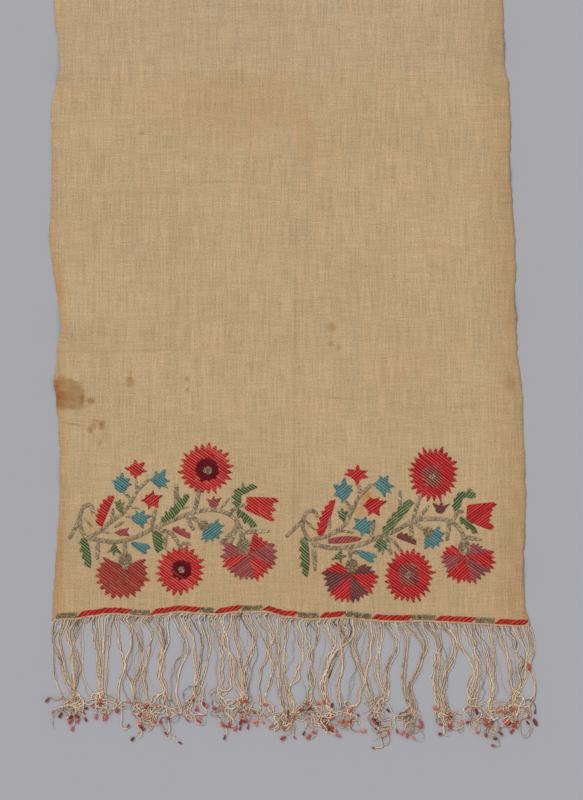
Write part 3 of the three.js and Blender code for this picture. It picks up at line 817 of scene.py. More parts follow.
STEMS = {
    # width, then the line's points
    "left": [
        (4.6, (33, 87), (31.8, 92.5), (28.5, 95), (23.4, 92.5), (20.4, 86), (20, 78), (22, 68), (27, 62.5)),
        (2.4, (24.7, 81.3), (28.5, 77), (32.7, 73.3)), (4.4, (19, 80), (15, 72), (10, 62.4)),
        (4.6, (25, 63), (39, 60), (54, 58), (66, 60), (76, 63), (90, 70), (107, 77.4), (123, 84), (140, 89),
         (154, 90), (166, 87), (175, 81), (180, 72), (181.5, 63)),
        (4.2, (29, 63.5), (38, 67.5), (52, 79), (62, 86), (71, 98), (78, 110), (88, 120)),
        (3.4, (77, 109), (76, 121)), (3.0, (70.5, 99), (64.5, 109)),
        (3.4, (52, 78), (53, 91)), (4.2, (38, 59), (37.3, 41)), (3.9, (91.5, 73), (95.7, 91)),
        (4.8, (116.3, 97), (116.3, 116)), (3.8, (106, 69), (105, 52)), (4.2, (127, 87), (129, 79), (133, 71)),
        (4.6, (92, 71), (108, 68), (115, 62), (121.5, 51)), (3.8, (117, 57), (131, 56)),
        (5.0, (134, 88), (137, 99), (139, 110)), (4.0, (168, 86), (178, 93), (187, 95.5)),
        (2.6, (161, 92), (169, 101)), (4.5, (178, 79), (171, 57)), (4.2, (174, 69), (160, 56)),
        (4.2, (183, 68), (209, 68.8)), (4.0, (129, 84.5), (142, 77)), (4.4, (65, 59), (65, 46)),
        (5.0, (181, 72), (183, 58)), (3.0, (183, 107), (182.6, 117)), (3.0, (55, 73), (63, 77.5)),
        (2.2, (72, 92.5), (79, 91.3)), (2.2, (119, 91.5), (128, 92.6)), (2.2, (43, 68), (51, 67)),
        (2.4, (66, 83), (74, 84)),
    ],
    "right": [
        (4.2, (31, 89), (29.5, 93), (25, 95.2), (20, 92.5), (17.2, 86), (17, 78), (22, 68), (32, 61)),
        (3.8, (15, 84), (8, 77), (1, 70)), (2.8, (19, 86), (24, 81), (29, 76)),
        (4.8, (26, 65), (32, 61), (46, 58), (63, 59), (77, 62), (90, 68), (104, 73), (118, 80), (128, 86),
         (140, 87), (154, 87), (164, 85), (173, 78), (177.5, 69), (178, 61)),
        (4.4, (25, 66), (42, 70.5), (58, 81), (66, 95), (73, 109), (85, 121)),
        (4.0, (74, 110), (73, 121)), (3.2, (65, 96), (60, 105)), (3.8, (43, 76), (43.5, 88)),
        (4.4, (27.5, 64), (29, 36)), (3.8, (84.5, 67), (88.5, 86)), (3.4, (114, 99), (114, 115)),
        (3.8, (101, 67), (105, 51)), (3.0, (95.5, 62), (96.5, 52)), (3.4, (99, 70), (109, 63), (116, 53)),
        (4.2, (127, 87), (131, 100), (135, 112)), (3.6, (134, 90), (142, 99)), (3.8, (124.5, 84), (126, 67)),
        (3.8, (127, 85), (139, 75)), (4.4, (163, 85), (162.5, 76), (161, 66)), (4.2, (166, 84), (172, 95)),
        (3.4, (169, 94), (177.5, 94.5)), (4.0, (177, 69.5), (195, 66)), (3.0, (178.5, 113), (183, 116), (188, 113.5)),
        (3.4, (63, 59), (64.6, 46)), (3.8, (63, 55.5), (71, 53)), (3.0, (47, 72), (55, 75), (66, 73.5)),
        (2.4, (102, 86.5), (108, 88.5), (114, 87.5)), (4.0, (180, 58), (178.5, 50)),
    ],
}
CALYXES = {  # round metal-thread pads: x, y, half width, half height
    "left": [(65, 40.5, 7.0, 7.2), (183.5, 53.5, 7.2, 8.6), (143.5, 74.5, 5.6, 5.0), (65.5, 33.5, 3.6, 2.8)],
    "right": [(65.7, 40, 6.6, 7.2), (178.4, 58.5, 6.4, 7.4), (142, 74, 4.8, 5.2)],
}


def blooms_left():
    """Colour, shape, lean of the rows, tone for each filled motif of the left sprig."""
    top_ring = disc(147, 130.4, 11.0, 12.8, 11, 31, 0.97)
    top_eye = oval(148, 129.6, 4.4, 3.8, 12, 1.4)
    low_ring = disc(121.8, 30.4, 9.2, 10.8, 10, 32, 0.98)
    low_eye = oval(121.6, 30.4, 3.2, 3.4, 0, 1.5)
    notch = lambda x, y: (np.hypot(x - 65, y - 41) < 7.2) | (y > 33.5 + 0.45 * np.abs(x - 65))
    return [
        ("red", disc(145.4, 131, 21.0, 27.6, 24, 1, 0.94, top_ring[0]), DOWN, 0.15),
        ("maroon", (lambda x, y: top_ring[0](x, y) & ~top_eye[0](x, y), top_ring[1]), DOWN, -0.2),
        ("red", disc(120.2, 29.8, 18.8, 25.4, 22, 2, 0.99, low_ring[0]), DOWN, 0.2),
        ("maroon", (lambda x, y: low_ring[0](x, y) & ~low_eye[0](x, y), low_ring[1]), DOWN, 0.1),
        ("red+metal", disc(62.3, 25.5, 22.4, 28.0, 22, 3, 0.90, notch, 0.5, None, 0.08), DOWN - 2, 0.0),
        ("red", petal(188.8, 46.5, 26, 76, 14, 21, 3, 4), DOWN, -0.2),
        ("mauve", petal(188.8, 46.5, -27, 25, 21, 28.5, 4, 5), DOWN, 0.0),
        ("red", petal(188.8, 46.5, -77, -28, 20, 29, 4, 6), DOWN, -0.1),
        ("mauve", petal(188.8, 46.5, 222, 282, 20, 27, 5, 7), UP, 0.0),
        ("red", petal(188.8, 46.5, 193, 221, 21, 28.5, 3, 8), UP, -0.1),
        ("mauve", petal(188.8, 46.5, 153, 192, 19, 29, 3, 9), DOWN + 4, 0.1),
        ("red", cup(186, 97.0, -11, 31.5, 12.5, 24.5, 5, 10, 3.2, -1.5), DOWN, 0.0),
        ("red", bloom(76, 130.3, 7.6, 6.4, -25, [(95, 9.5), (42, 10.5), (-8, 10), (172, 11), (262, 8), (222, 7)]), DOWN, 0.1),
        ("red", bloom(91.5, 100, 8.2, 6.4, -8, [(182, 10), (82, 8.8), (22, 11.5), (-48, 9.5), (-108, 9), (140, 7)]), UP, 0.0),
        ("red", blade(40, 74.2, 53.6, 104, 11.0, 2.2, 6, 1, 3.4), DOWN, -0.1),
        ("blue", bloom(60.8, 115, 7.4, 8.6, 10, [(82, 11.5), (38, 10.5), (4, 10), (155, 9.5), (-62, 10.5), (115, 9)]), DOWN, 0.0),
        ("blue", bloom(98.8, 120, 7.4, 6.4, 0, [(112, 9), (58, 11.5), (-4, 10.5), (-44, 11.5), (-88, 8.5), (178, 9)]), DOWN, 0.1),
        ("blue", bloom(79.4, 81, 8.2, 6.0, 0, [(165, 10.5), (112, 8.5), (62, 9), (16, 11.5), (-26, 9), (-68, 9.5)]), DOWN, -0.1),
        ("blue", without(bloom(151.5, 69.2, 12.4, 7.2, 42, [(60, 12.5), (24, 13.5), (-8, 11), (-46, 10), (-84, 10), (-118, 12.5), (-140, 14)]), 143.5, 75.2, 5.6), UP - 2, 0.0),
        ("blue", cup(71.5, 57, -30, 18.5, 2.6, 12.5, 2, 30, 3.0, 2), DOWN, 0.1),
        ("green", blade(102.4, 77.0, 129.2, 105.2, 8.4, -1.4, 6, 1, 3.8), DOWN - 20, 0.0),
        ("green", blade(23.8, 62, 29.6, 32.4, 9.6, 0.6, 4, -1, 3.4), DOWN - 6, 0.0),
        ("green", blade(94.6, 68.8, 97.4, 47.8, 11.6, 1.0, 3, 1, 3.2), DOWN, 0.0),
        ("green", bloom(59.6, 92.6, 3.8, 3.2, 0, [(128, 7.0), (90, 7.6), (50, 7.2), (-70, 6.0)]), UP, 0.1),
        ("green", bloom(54, 51.8, 3.2, 2.6, 0, [(212, 8.0), (268, 6.5), (322, 8.0), (88, 5.0)]), UP, 0.0),
        ("green", both(blade(178.4, 93.5, 178.8, 112, 8.4, 0.4, 3, 1, 3.6), blade(175.5, 103.5, 196.8, 113.4, 6.6, 1.2, 3, 1, 2.6)), DOWN, 0.0),
        ("green", blade(177.6, 89.5, 196.8, 73.6, 6.4, 0.2, 3, -1, 3.4), UP + 20, -0.1),
        ("maroonpink", bloom(153.4, 96.0, 5.2, 3.6, 0, [(142, 8.8), (88, 7.0), (40, 8.8)]), DOWN, 0.0),
        ("maroonpink", bloom(62.0, 67.6, 5.6, 3.6, 6, [(32, 8.0), (-26, 7.5), (182, 7.0)]), UP, 0.0),
        ("maroonpink", blade(112.6, 70.8, 130, 61.8, 6.4, 0.6, 3, 1, 2.8), DOWN - 14, 0.0),
    ]


def blooms_right():
    top_ring = oval(146, 129.8, 9.4, 11.0, 30, 2.2)
    top_eye = oval(146.2, 129.8, 3.0, 2.8, 0, 1.5)
    low_ring = oval(122.4, 31.6, 9.6, 11.4, 20, 2.2)
    low_eye = oval(122, 31, 2.8, 3.0, 0, 1.5)
    return [
        ("crimson", disc(147.4, 132.4, 19.4, 26.0, 25, 11, 1.06, top_ring[0]), DOWN - 2, 0.0),
        ("greyring", (lambda x, y: top_ring[0](x, y) & ~top_eye[0](x, y), top_ring[1]), DOWN - 2, 0.0),
        ("crimson", disc(122.8, 30.4, 19.4, 26.0, 25, 12, 1.06, low_ring[0]), DOWN, 0.0),
        ("greyring", (lambda x, y: low_ring[0](x, y) & ~low_eye[0](x, y), low_ring[1]), DOWN, 0.0),
        ("crimson", petal(64.7, 32.5, 138, 173, 10, 17, 3, 13, 26), DOWN + 8, 0.2),
        ("brown", petal(64.7, 32.5, 174, 222, 21, 28.5, 4, 14), UP - 6, 0.0),
        ("crimson", petal(64.7, 32.5, 223, 269, 22, 30.5, 4, 15), UP + 3, 0.1),
        ("brown", petal(64.7, 32.5, 270, 312, 22, 29.5, 4, 16), DOWN - 8, 0.0),
        ("crimson", petal(64.7, 32.5, 313, 358, 21, 29, 4, 17), DOWN, 0.1),
        ("brown", petal(64.7, 32.5, 0, 36, 18, 26, 3, 18, 17), DOWN, -0.1),
        ("crimson", petal(178.6, 50, 136, 176, 11, 17, 3, 19, 24), DOWN, 0.0),
        ("mauve", petal(178.6, 50, 177, 226, 18, 25, 4, 20), UP - 4, -0.1),
        ("crimson", petal(178.6, 50, 227, 286, 20, 27.5, 5, 21), UP + 6, 0.0),
        ("mauve", petal(178.6, 50, 287, 333, 22, 30.5, 4, 22), DOWN, -0.1),
        ("crimson", petal(178.6, 50, 334, 372, 24, 31.5, 4, 23), DOWN, 0.1),
        ("mauve", petal(178.6, 50, 13, 58, 15, 24, 4, 24, 15), DOWN + 2, 0.0),
        ("crimson", cup(180.8, 93.2, -6, 28.5, 14.5, 29, 5, 25, 3.2, -0.5), UP - 2, 0.0),
        ("crimson", bloom(71.4, 131, 7.4, 6.0, 0, [(152, 11), (176, 12), (90, 9.5), (22, 10.5), (-14, 10), (268, 10)]), UP, 0.2),
        ("crimson", bloom(86.6, 100.4, 8.4, 7.4, -10, [(18, 14.5), (52, 10), (-56, 11.5), (-112, 10.5), (178, 9.5), (110, 8)]), UP - 3, 0.0),
        ("crimson", blade(34.6, 70.6, 48.6, 106, 10.4, 0.8, 6, 1, 3.4), UP, 0.0),
        ("blue", bloom(57.2, 114.6, 8.0, 8.8, -10, [(86, 13), (146, 11), (34, 10.5), (4, 9.5), (204, 10.5), (268, 11)]), UP, 0.1),
        ("blue", bloom(96.2, 120.8, 7.8, 7.0, -15, [(102, 9.5), (60, 10.5), (-6, 11.5), (-42, 12), (-78, 11.5), (174, 10)]), DOWN, 0.1),
        ("blue", bloom(77, 80, 8.2, 7.0, 0, [(138, 11), (76, 9.5), (24, 12), (-50, 10), (-96, 10), (192, 10.5)]), UP, 0.0),
        ("blue", without(bloom(147.0, 68.2, 12.0, 7.0, 44, [(62, 12.5), (24, 12.5), (-16, 10.5), (-56, 10), (-92, 10.5), (-128, 13.5)]), 142, 74.6, 5.4), DOWN, 0.0),
        ("blue", cup(69.5, 55, -28, 21.5, 2.6, 11.5, 2, 31, 3.4, 2), DOWN + 4, 0.1),
        ("green", blade(98.2, 71.5, 126.0, 104.2, 10.4, 0.4, 5, 1, 3.4, 0.8), UP - 2, 0.1),
        ("green", blade(18.6, 68.5, 20.2, 29.0, 9.6, 0.8, 5, -1, 3.4), DOWN - 6, 0.0),
        ("green", bloom(95.4, 62, 6.2, 5.4, 0, [(100, 8), (20, 8.5), (-50, 8), (200, 8), (-110, 8)]), DOWN, 0.0),
        ("green", bloom(56.4, 89.6, 3.6, 3.8, 0, [(128, 7.5), (92, 8.0), (46, 7.2), (-76, 6.0)]), DOWN, 0.0),
        ("green", bloom(53, 49.6, 4.2, 3.0, 0, [(204, 7.5), (72, 6.5), (4, 7.0), (-72, 6.0)]), DOWN, 0.0),
        ("green", both(blade(170, 95.0, 176.8, 114, 9.0, 0.6, 3, 1, 2.4), blade(171.5, 109.0, 189, 110.5, 8.0, 2.4, 2, -1, 1.4, 0.6)), UP + 8, 0.0),
        ("green", blade(174.4, 88.8, 191.6, 73, 7.2, 0.8, 3, -1, 2.6), DOWN - 2, -0.1),
        ("brown", bloom(154.4, 96.0, 5.0, 3.8, 0, [(138, 9.5), (84, 7.5), (34, 10.5)]), UP - 4, 0.2),
        ("maroonpink", blade(42.6, 64.8, 75, 67.0, 6.2, 0.4, 0, 1), UP + 10, 0.2),
        ("brown", blade(110.8, 69.8, 130.0, 61.6, 6.8, 1.0, 4, 1, 3.0), DOWN - 12, 0.0),
    ]


def smooth_line(points, step):
    """Even points along a soft curve through the given ones, with directions."""
    p = np.array(points, float)
    if len(p) == 2:
        t = np.linspace(0, 1, 40)[:, None]
        fine = p[0] + (p[1] - p[0]) * t
    else:
        q = np.concatenate([[2 * p[0] - p[1]], p, [2 * p[-1] - p[-2]]])
        fine = []
        for i in range(1, len(q) - 2):
            t = np.linspace(0, 1, 24, endpoint=False)[:, None]
            a, b, c, d = q[i - 1], q[i], q[i + 1], q[i + 2]
            fine.append(0.5 * (2 * b + (c - a) * t + (2 * a - 5 * b + 4 * c - d) * t ** 2 + (3 * b - a - 3 * c + d) * t ** 3))
        fine = np.concatenate(fine + [p[-1:]])
    far = np.concatenate([[0], np.cumsum(np.hypot(*np.diff(fine, axis=0).T))])
    at = np.arange(step / 2, far[-1], step)
    x, y = np.interp(at, far, fine[:, 0]), np.interp(at, far, fine[:, 1])
    dx, dy = np.gradient(x) if len(x) > 1 else np.ones(1), np.gradient(y) if len(x) > 1 else np.zeros(1)
    n = np.hypot(dx, dy)
    return x, y, dx / n, dy / n, at / far[-1]


def metal_line(kit, width, points, pointed=0.35, step=0.78):
    """A stem: padding stitches along it, and short slanting ones of flat metal thread."""
    r = kit.random
    x, y, dx, dy, t = smooth_line(points, 2.6)
    spindle = len(points) == 2
    for side in (-0.22, 0.22) if width > 3 else (0.0,):
        for i in range(len(x)):
            here = width * (0.62 + 0.5 * math.sin(math.pi * t[i])) if spindle else width
            ox, oy = -dy[i] * here * side, dx[i] * here * side
            kit.add(x[i] + ox - dx[i] * 2.2, y[i] + oy - dy[i] * 2.2, x[i] + ox + dx[i] * 2.2, y[i] + oy + dy[i] * 2.2,
                    here * (0.46 if width > 3 else 0.72), 1.1, r.normal(-0.4, 0.3), 0.8, 0.30)
    x, y, dx, dy, t = smooth_line(points, step)
    for i in range(len(x)):
        lean = math.radians(r.normal(50, 8)) * (-1 if i % 4 == 0 else 1)
        a = math.atan2(dy[i], dx[i]) + lean
        taper = 0.55 + 0.65 * math.sin(math.pi * min(0.96, t[i] * 0.9 + 0.08)) if spindle else 1 - pointed * max(0.0, 2 * t[i] - 1) ** 2
        half = width * taper * r.uniform(0.44, 0.54) / max(0.6, abs(math.sin(lean)))
        ox, oy = r.normal(0, 0.12), r.normal(0, 0.12)
        kit.add(x[i] + ox - half * math.cos(a), y[i] + oy - half * math.sin(a),
                x[i] + ox + half * math.cos(a), y[i] + oy + half * math.sin(a),
                r.uniform(0.75, 1.05), 0.95, r.normal(0.05, 0.85), 0.8, r.uniform(0.50, 0.65))


def metal_pad(kit, cx, cy, rx, ry):
    """A calyx: a filled round pad with rings of short metal-thread stitches on it."""
    r = kit.random
    if rx > 3:
        inside, box = oval(cx, cy, rx * 0.9, ry * 0.9)
        fill(kit, inside, box, UP, pitch=1.5, strands=1, cover=1.0, height=0.95, longest=5, tone=-0.1, lift=0.4)
    for ring in (0.90, 0.66, 0.42, 0.18):
        n = max(3, int(2 * math.pi * ring * (rx + ry) / 2 / 1.15))
        for i in range(n):
            a = 2 * math.pi * (i + r.random()) / n
            x, y = cx + rx * ring * math.cos(a), cy + ry * ring * math.sin(a)
            d = r.choice([0.6, 2.3]) + r.normal(0, 0.3)
            half = r.uniform(0.7, 1.3)
            kit.add(x - half * math.cos(d), y - half * math.sin(d), x + half * math.cos(d), y + half * math.sin(d),
                    r.uniform(0.7, 1.0), 0.95, r.normal(0.1, 0.9), 0.7, r.uniform(0.95, 1.10))


def shifted(shape, ox, oy):
    inside, (x0, y0, x1, y1) = shape
    return (lambda x, y: inside(x - ox, y - oy)), (x0 + ox, y0 + oy, x1 + ox, y1 + oy)


def sprigs(kits):
    for side, motifs in (("left", blooms_left()), ("right", blooms_right())):
        ox, oy = CORNERS[side]
        for colour, shape, lean, tone in motifs:
            inside, box = shifted(shape, ox, oy)
            small = max(box[2] - box[0], box[3] - box[1]) < 26
            kind, _, under = colour.partition("+")
            fill(kits[kind], inside, box, lean, tone=tone, pitch=PITCH * (0.94 if small else 1.0), phase=0.3 if under else None,
                 under=0.0 if under else 0.9 if kind == "maroon" else 1.9,
                 reach=1.2 if kind in ("maroon", "greyring") else 0.8,
                 cover=0.92 if kind == "maroon" else 0.70 if under else 0.75 if kind == "green" else 0.82)
            if under:
                fill(kits[under], inside, box, lean, tone=-0.6, strands=1, cover=0.36, height=0.9, reach=-0.3, phase=0.8, lift=0.6)
        for width, *points in STEMS[side]:
            metal_line(kits["metal"], width, [(x + ox, y + oy) for x, y in points])
        for x, y, rx, ry in CALYXES[side]:
            metal_pad(kits["metal"], x + ox, y + oy, rx, ry)
        for x, y, rx, ry in ((147.6, 129.6, 4.4, 3.7), (121.6, 30.4, 3.1, 3.3)) if side == "left" else ((146.2, 129.8, 2.9, 2.8), (122, 31, 2.8, 3.0)):
            metal_pad(kits["metal"], x + ox, y + oy, rx, ry)


# ---------------------------------------------------------------- border and edge
BORDER = [  # colour, from, to: blocks of the narrow border, left to right
    ("metal", -235, -214.5), ("red", -214, -161), ("metal", -160.5, -141), ("red", -140.5, -91.5),
    ("metal", -91, -76.5), ("red", -76, -49.5), ("metal", -49, -28.5), ("red", -28, 6.5),
    ("metal", 7, 28.5), ("red", 29, 53.5), ("metal", 54, 80.5), ("red", 81, 120.5),
    ("metal", 121, 144), ("red", 144.5, 183.5), ("metal", 184, 203.5), ("red", 204, 236.5),
]
BAND_UP, BAND_HALF = 4.8, 2.8   # middle of the border above the cloth's edge, and half its width
CORD_UP, CORD_HALF = 1.0, 1.15   # the corded edge


def border(kits):
    for colour, x0, x1 in BORDER:
        kit = kits["band" if colour == "red" else "metal"]
        r = kit.random
        if colour == "red":
            # slanting strands in threes, light to dark, like a twisted rope: the light-to-dark cycle is painted
            # highlight and shade of the rope's twists, and the strands also rise and fall with it
            for i, strand in enumerate(np.arange(x0 - 1.5, x1 - 4.0, 0.80)):
                run = 7.4 + r.normal(0, 0.4)
                a, b = max(strand, x0 - 0.4), min(strand + run, x1 + 0.6)
                cut0, cut1 = (a - strand) / run, (b - strand) / run
                mid = float(lower_edge((a + b) / 2)) + BAND_UP
                slope = float(lower_edge(b) - lower_edge(a)) / 2
                half = BAND_HALF + r.normal(-0.1, 0.12)
                y0 = mid - slope + half * (2 * cut0 - 1)
                y1 = mid + slope + half * (2 * cut1 - 1)
                # painted highlight and shade along the rope's twists
                tone = 0.95 * math.sin(2 * math.pi * strand / 5.3) + (-0.5, 0.3)[i % 2] + r.normal(0, 0.35)
                kit.add(a, y0, b, y1, 0.84, 0.9, tone + 0.25, 0.8, 0.45 + 0.12 * math.sin(2 * math.pi * strand / 5.3))
        else:
            for side in (-1.7, 0.0, 1.7):
                for x in np.arange(x0, x1 - 3, 3.2):
                    y = float(lower_edge(x)) + BAND_UP + side
                    kit.add(x - 0.4, y, x + 3.6, y + float(lower_edge(x + 4) - lower_edge(x)), 1.7, 1.1, r.normal(-0.9, 0.3), 0.8, 0.35)
            for stroke in np.arange(x0 + 0.4, x1, 1.32):
                mid = float(lower_edge(stroke)) + BAND_UP
                top, low = BAND_HALF + r.normal(0.1, 0.25), BAND_HALF + r.normal(0.1, 0.2)
                lean = r.normal(0.45, 0.3)
                for part in (0.0, 0.5):
                    ya, yb = -low + (top + low) * part, -low + (top + low) * (part + 0.5)
                    kit.add(stroke - lean * (1 - 2 * part), mid + ya, stroke + lean * 2 * part, mid + yb,
                            r.uniform(0.85, 1.15), 1.1, r.normal(-0.25, 0.95), 0.8, r.uniform(0.55, 0.72))
    kit = kits["cream"]
    r = kit.random
    # the corded edge: close slanting turns over a laid thread
    for x in np.arange(-236.5, 237.5, 0.86):
        mid = float(lower_edge(x)) + CORD_UP
        kit.add(x - 0.55, mid - CORD_HALF, x + 0.55, mid + CORD_HALF + r.normal(0, 0.12), 1.0, 1.25,
                r.normal(0, 0.6), 0.8, 0.05)
    # small hemming stitches at the far end
    left, right = selvedges(np.array(CLOTH_LENGTH - HEM_DEPTH))
    for x in np.arange(float(left) + 3, float(right) - 3, 3.4):
        kit.add(x, CLOTH_LENGTH - HEM_DEPTH - 0.9 + r.normal(0, 0.15), x + 1.3, CLOTH_LENGTH - HEM_DEPTH + 0.9,
                0.55, 0.7, r.normal(0, 0.5), 0.8, 0.42)


# ---------------------------------------------------------------- fringe
# A row for each run of cords: the part of the edge it hangs from, how many cords,
# the way they take, and the tangle that they end in.
RUNS = [
    (-238, -230, 3, "a", (-238.5, -20), (-233, -35), (-225, -60), (-219, -70)),
    (-239, -237, 1, "a", (-240, -28), (-237, -58), (-229, -79)),
    (-230, -223, 3, "a", (-231, -20), (-229, -40), (-225, -55), (-218, -70)),
    (-223, -216, 3, "a", (-223, -15), (-220, -30), (-218, -60), (-217, -70)),
    (-215, -208, 3, "a", (-217, -20), (-212, -45), (-216, -65)),
    (-206, -202, 1, "b", (-208, -12), (-208, -40), (-206, -60), (-199, -73)),
    (-201, -192, 4, "b", (-195, -20), (-193, -45), (-190, -68)),
    (-191, -184, 3, "b", (-188, -20), (-189, -50), (-191, -68)),
    (-183, -178, 2, "b", (-183, -30), (-186, -68)),
    (-177, -171, 3, "c", (-174, -14), (-169, -38), (-167, -48), (-173, -65), (-174, -77)),
    (-170, -163, 3, "d", (-160, -10), (-161, -30), (-167, -48), (-160, -62), (-156, -85)),
    (-162, -152, 4, "d", (-150, -25), (-150, -45), (-157, -62), (-157, -78)),
    (-151, -145, 2, "d", (-140, -14), (-143, -35), (-147, -60), (-144, -80)),
    (-144, -133, 4, "e", (-129, -18), (-131, -40), (-131, -55), (-125, -70)),
    (-132, -121, 4, "e", (-125, -20), (-131, -50), (-127, -68)),
    (-119, -110, 3, "e", (-103, -28), (-111, -45), (-115, -74), (-110, -90)),
    (-109, -101, 3, "f", (-99, -16), (-96, -36), (-95, -60)),
    (-100, -91, 3, "f", (-89, -25), (-92, -45), (-95, -64)),
    (-90, -82, 3, "f", (-81, -30), (-89, -58), (-97, -78)),
    (-81, -75, 3, "g", (-73, -12), (-69, -40), (-71, -78)),
    (-74, -67, 3, "g", (-66, -12), (-62, -34), (-61, -66)),
    (-66, -59, 3, "h", (-67, -18), (-59, -40), (-51, -70)),
    (-58, -51, 3, "h", (-54, -20), (-50, -46), (-48, -72)),
    (-50, -40, 4, "h", (-37, -15), (-40, -34), (-46, -52), (-47, -75)),
    (-39, -32, 3, "i", (-25, -18), (-24, -36), (-31, -58), (-31, -90)),
    (-31, -21, 4, "i", (-18, -17), (-22, -30), (-18, -46), (-21, -66), (-27, -80)),
    (-20, -10, 4, "j", (-13, -22), (-12, -58), (-8, -92)),
    (-9, 0, 4, "j", (-4, -18), (-7, -36), (-5, -68), (0, -90)),
    (1, 10, 4, "j", (11, -30), (7, -52), (-1, -66), (3, -90)),
    (11, 18, 3, "k", (18, -30), (22, -58), (18, -76)),
    (19, 27, 3, "k", (27, -14), (22, -30), (19, -52), (22, -76)),
    (28, 40, 5, "l", (42, -22), (38, -40), (34, -62), (36, -82)),
    (41, 62, 7, "l", (57, -16), (44, -34), (36, -52), (31, -66), (37, -88)),
    (47, 57, 3, "l", (50, -20), (52, -44), (47, -64), (50, -84)),
    (63, 72, 4, "n", (63, -28), (71, -50), (80, -76), (86, -96)),
    (73, 82, 4, "m", (80, -26), (76, -52), (67, -82)),
    (83, 92, 4, "n", (90, -22), (86, -44), (92, -72)),
    (93, 104, 4, "n", (107, -24), (98, -46), (95, -72)),
    (105, 114, 4, "o", (117, -20), (113, -46), (114, -74), (120, -86)),
    (115, 131, 6, "o", (134, -26), (127, -46), (119, -64), (122, -86)),
    (132, 146, 6, "p", (147, -20), (146, -44), (144, -62), (149, -86)),
    (147, 157, 4, "p", (165, -22), (160, -44), (152, -62), (153, -86)),
    (158, 168, 4, "q", (168, -24), (183, -50), (177, -68), (180, -84)),
    (169, 179, 4, "q", (181, -26), (187, -50), (182, -74)),
    (180, 190, 4, "r", (192, -26), (200, -60), (198, -88)),
    (191, 200, 4, "r", (201, -26), (203, -48), (200, -80)),
    (201, 211, 4, "s", (214, -28), (218, -46), (222, -70)),
    (212, 222, 4, "s", (226, -28), (229, -48), (226, -72)),
    (223, 232, 4, "s", (235, -28), (236, -44), (233, -62), (224, -78)),
    (233, 240, 4, "t", (243, -24), (241, -36), (238, -47), (244, -60), (245, -74), (236, -90)),
]
TANGLES = {  # middle, half width, half height, share of red tips
    "a": (-217, -100, 8.5, 22, 0.6), "b": (-192, -92, 14, 22, 0.5), "c": (-173, -94, 8, 16, 0.7),
    "d": (-151, -103, 12, 20, 0.75), "e": (-121, -103, 13, 19, 0.8), "f": (-95, -98, 12, 20, 0.8),
    "g": (-68, -100, 9, 19, 0.75), "h": (-43, -104, 11, 11, 0.85), "i": (-22, -100, 12, 16, 0.6),
    "j": (5, -112, 15, 17, 1.0), "k": (23, -90, 10, 12, 0.3), "l": (42, -104, 12, 18, 0.6),
    "m": (62, -104, 9, 10, 0.9), "n": (89, -108, 11, 15, 0.5), "o": (129, -110, 15, 15, 0.8),
    "p": (155, -107, 11, 17, 0.8), "q": (182, -104, 11, 18, 0.7), "r": (197, -112, 10, 14, 0.9),
    "s": (221, -108, 12, 17, 0.9), "t": (231, -100, 13, 15, 0.7),
}
CORD_R = 0.39


def wander(r, shared, x, y, heading, cx, cy, rx, ry, goal, steps, size=1.3):
    """The tail of a cord: it curls about in its tangle and hangs on towards its goal."""
    out = []
    turn = r.normal(0, 0.15)
    for step in range(steps):
        turn = turn * 0.70 + shared[step] + r.normal(0, 0.16)
        far = math.hypot((x - cx) / rx, (y - cy) / ry)
        want = math.atan2(cy - y, cx - x) if far > 1.0 else math.atan2(goal[1] - y, goal[0] - x)
        swing = (want - heading + math.pi) % (2 * math.pi) - math.pi
        heading += turn + swing * (0.17 if far > 1.0 else 0.12)
        x, y = x + size * math.cos(heading), y + size * math.sin(heading)
        out.append((x, y))
    return out


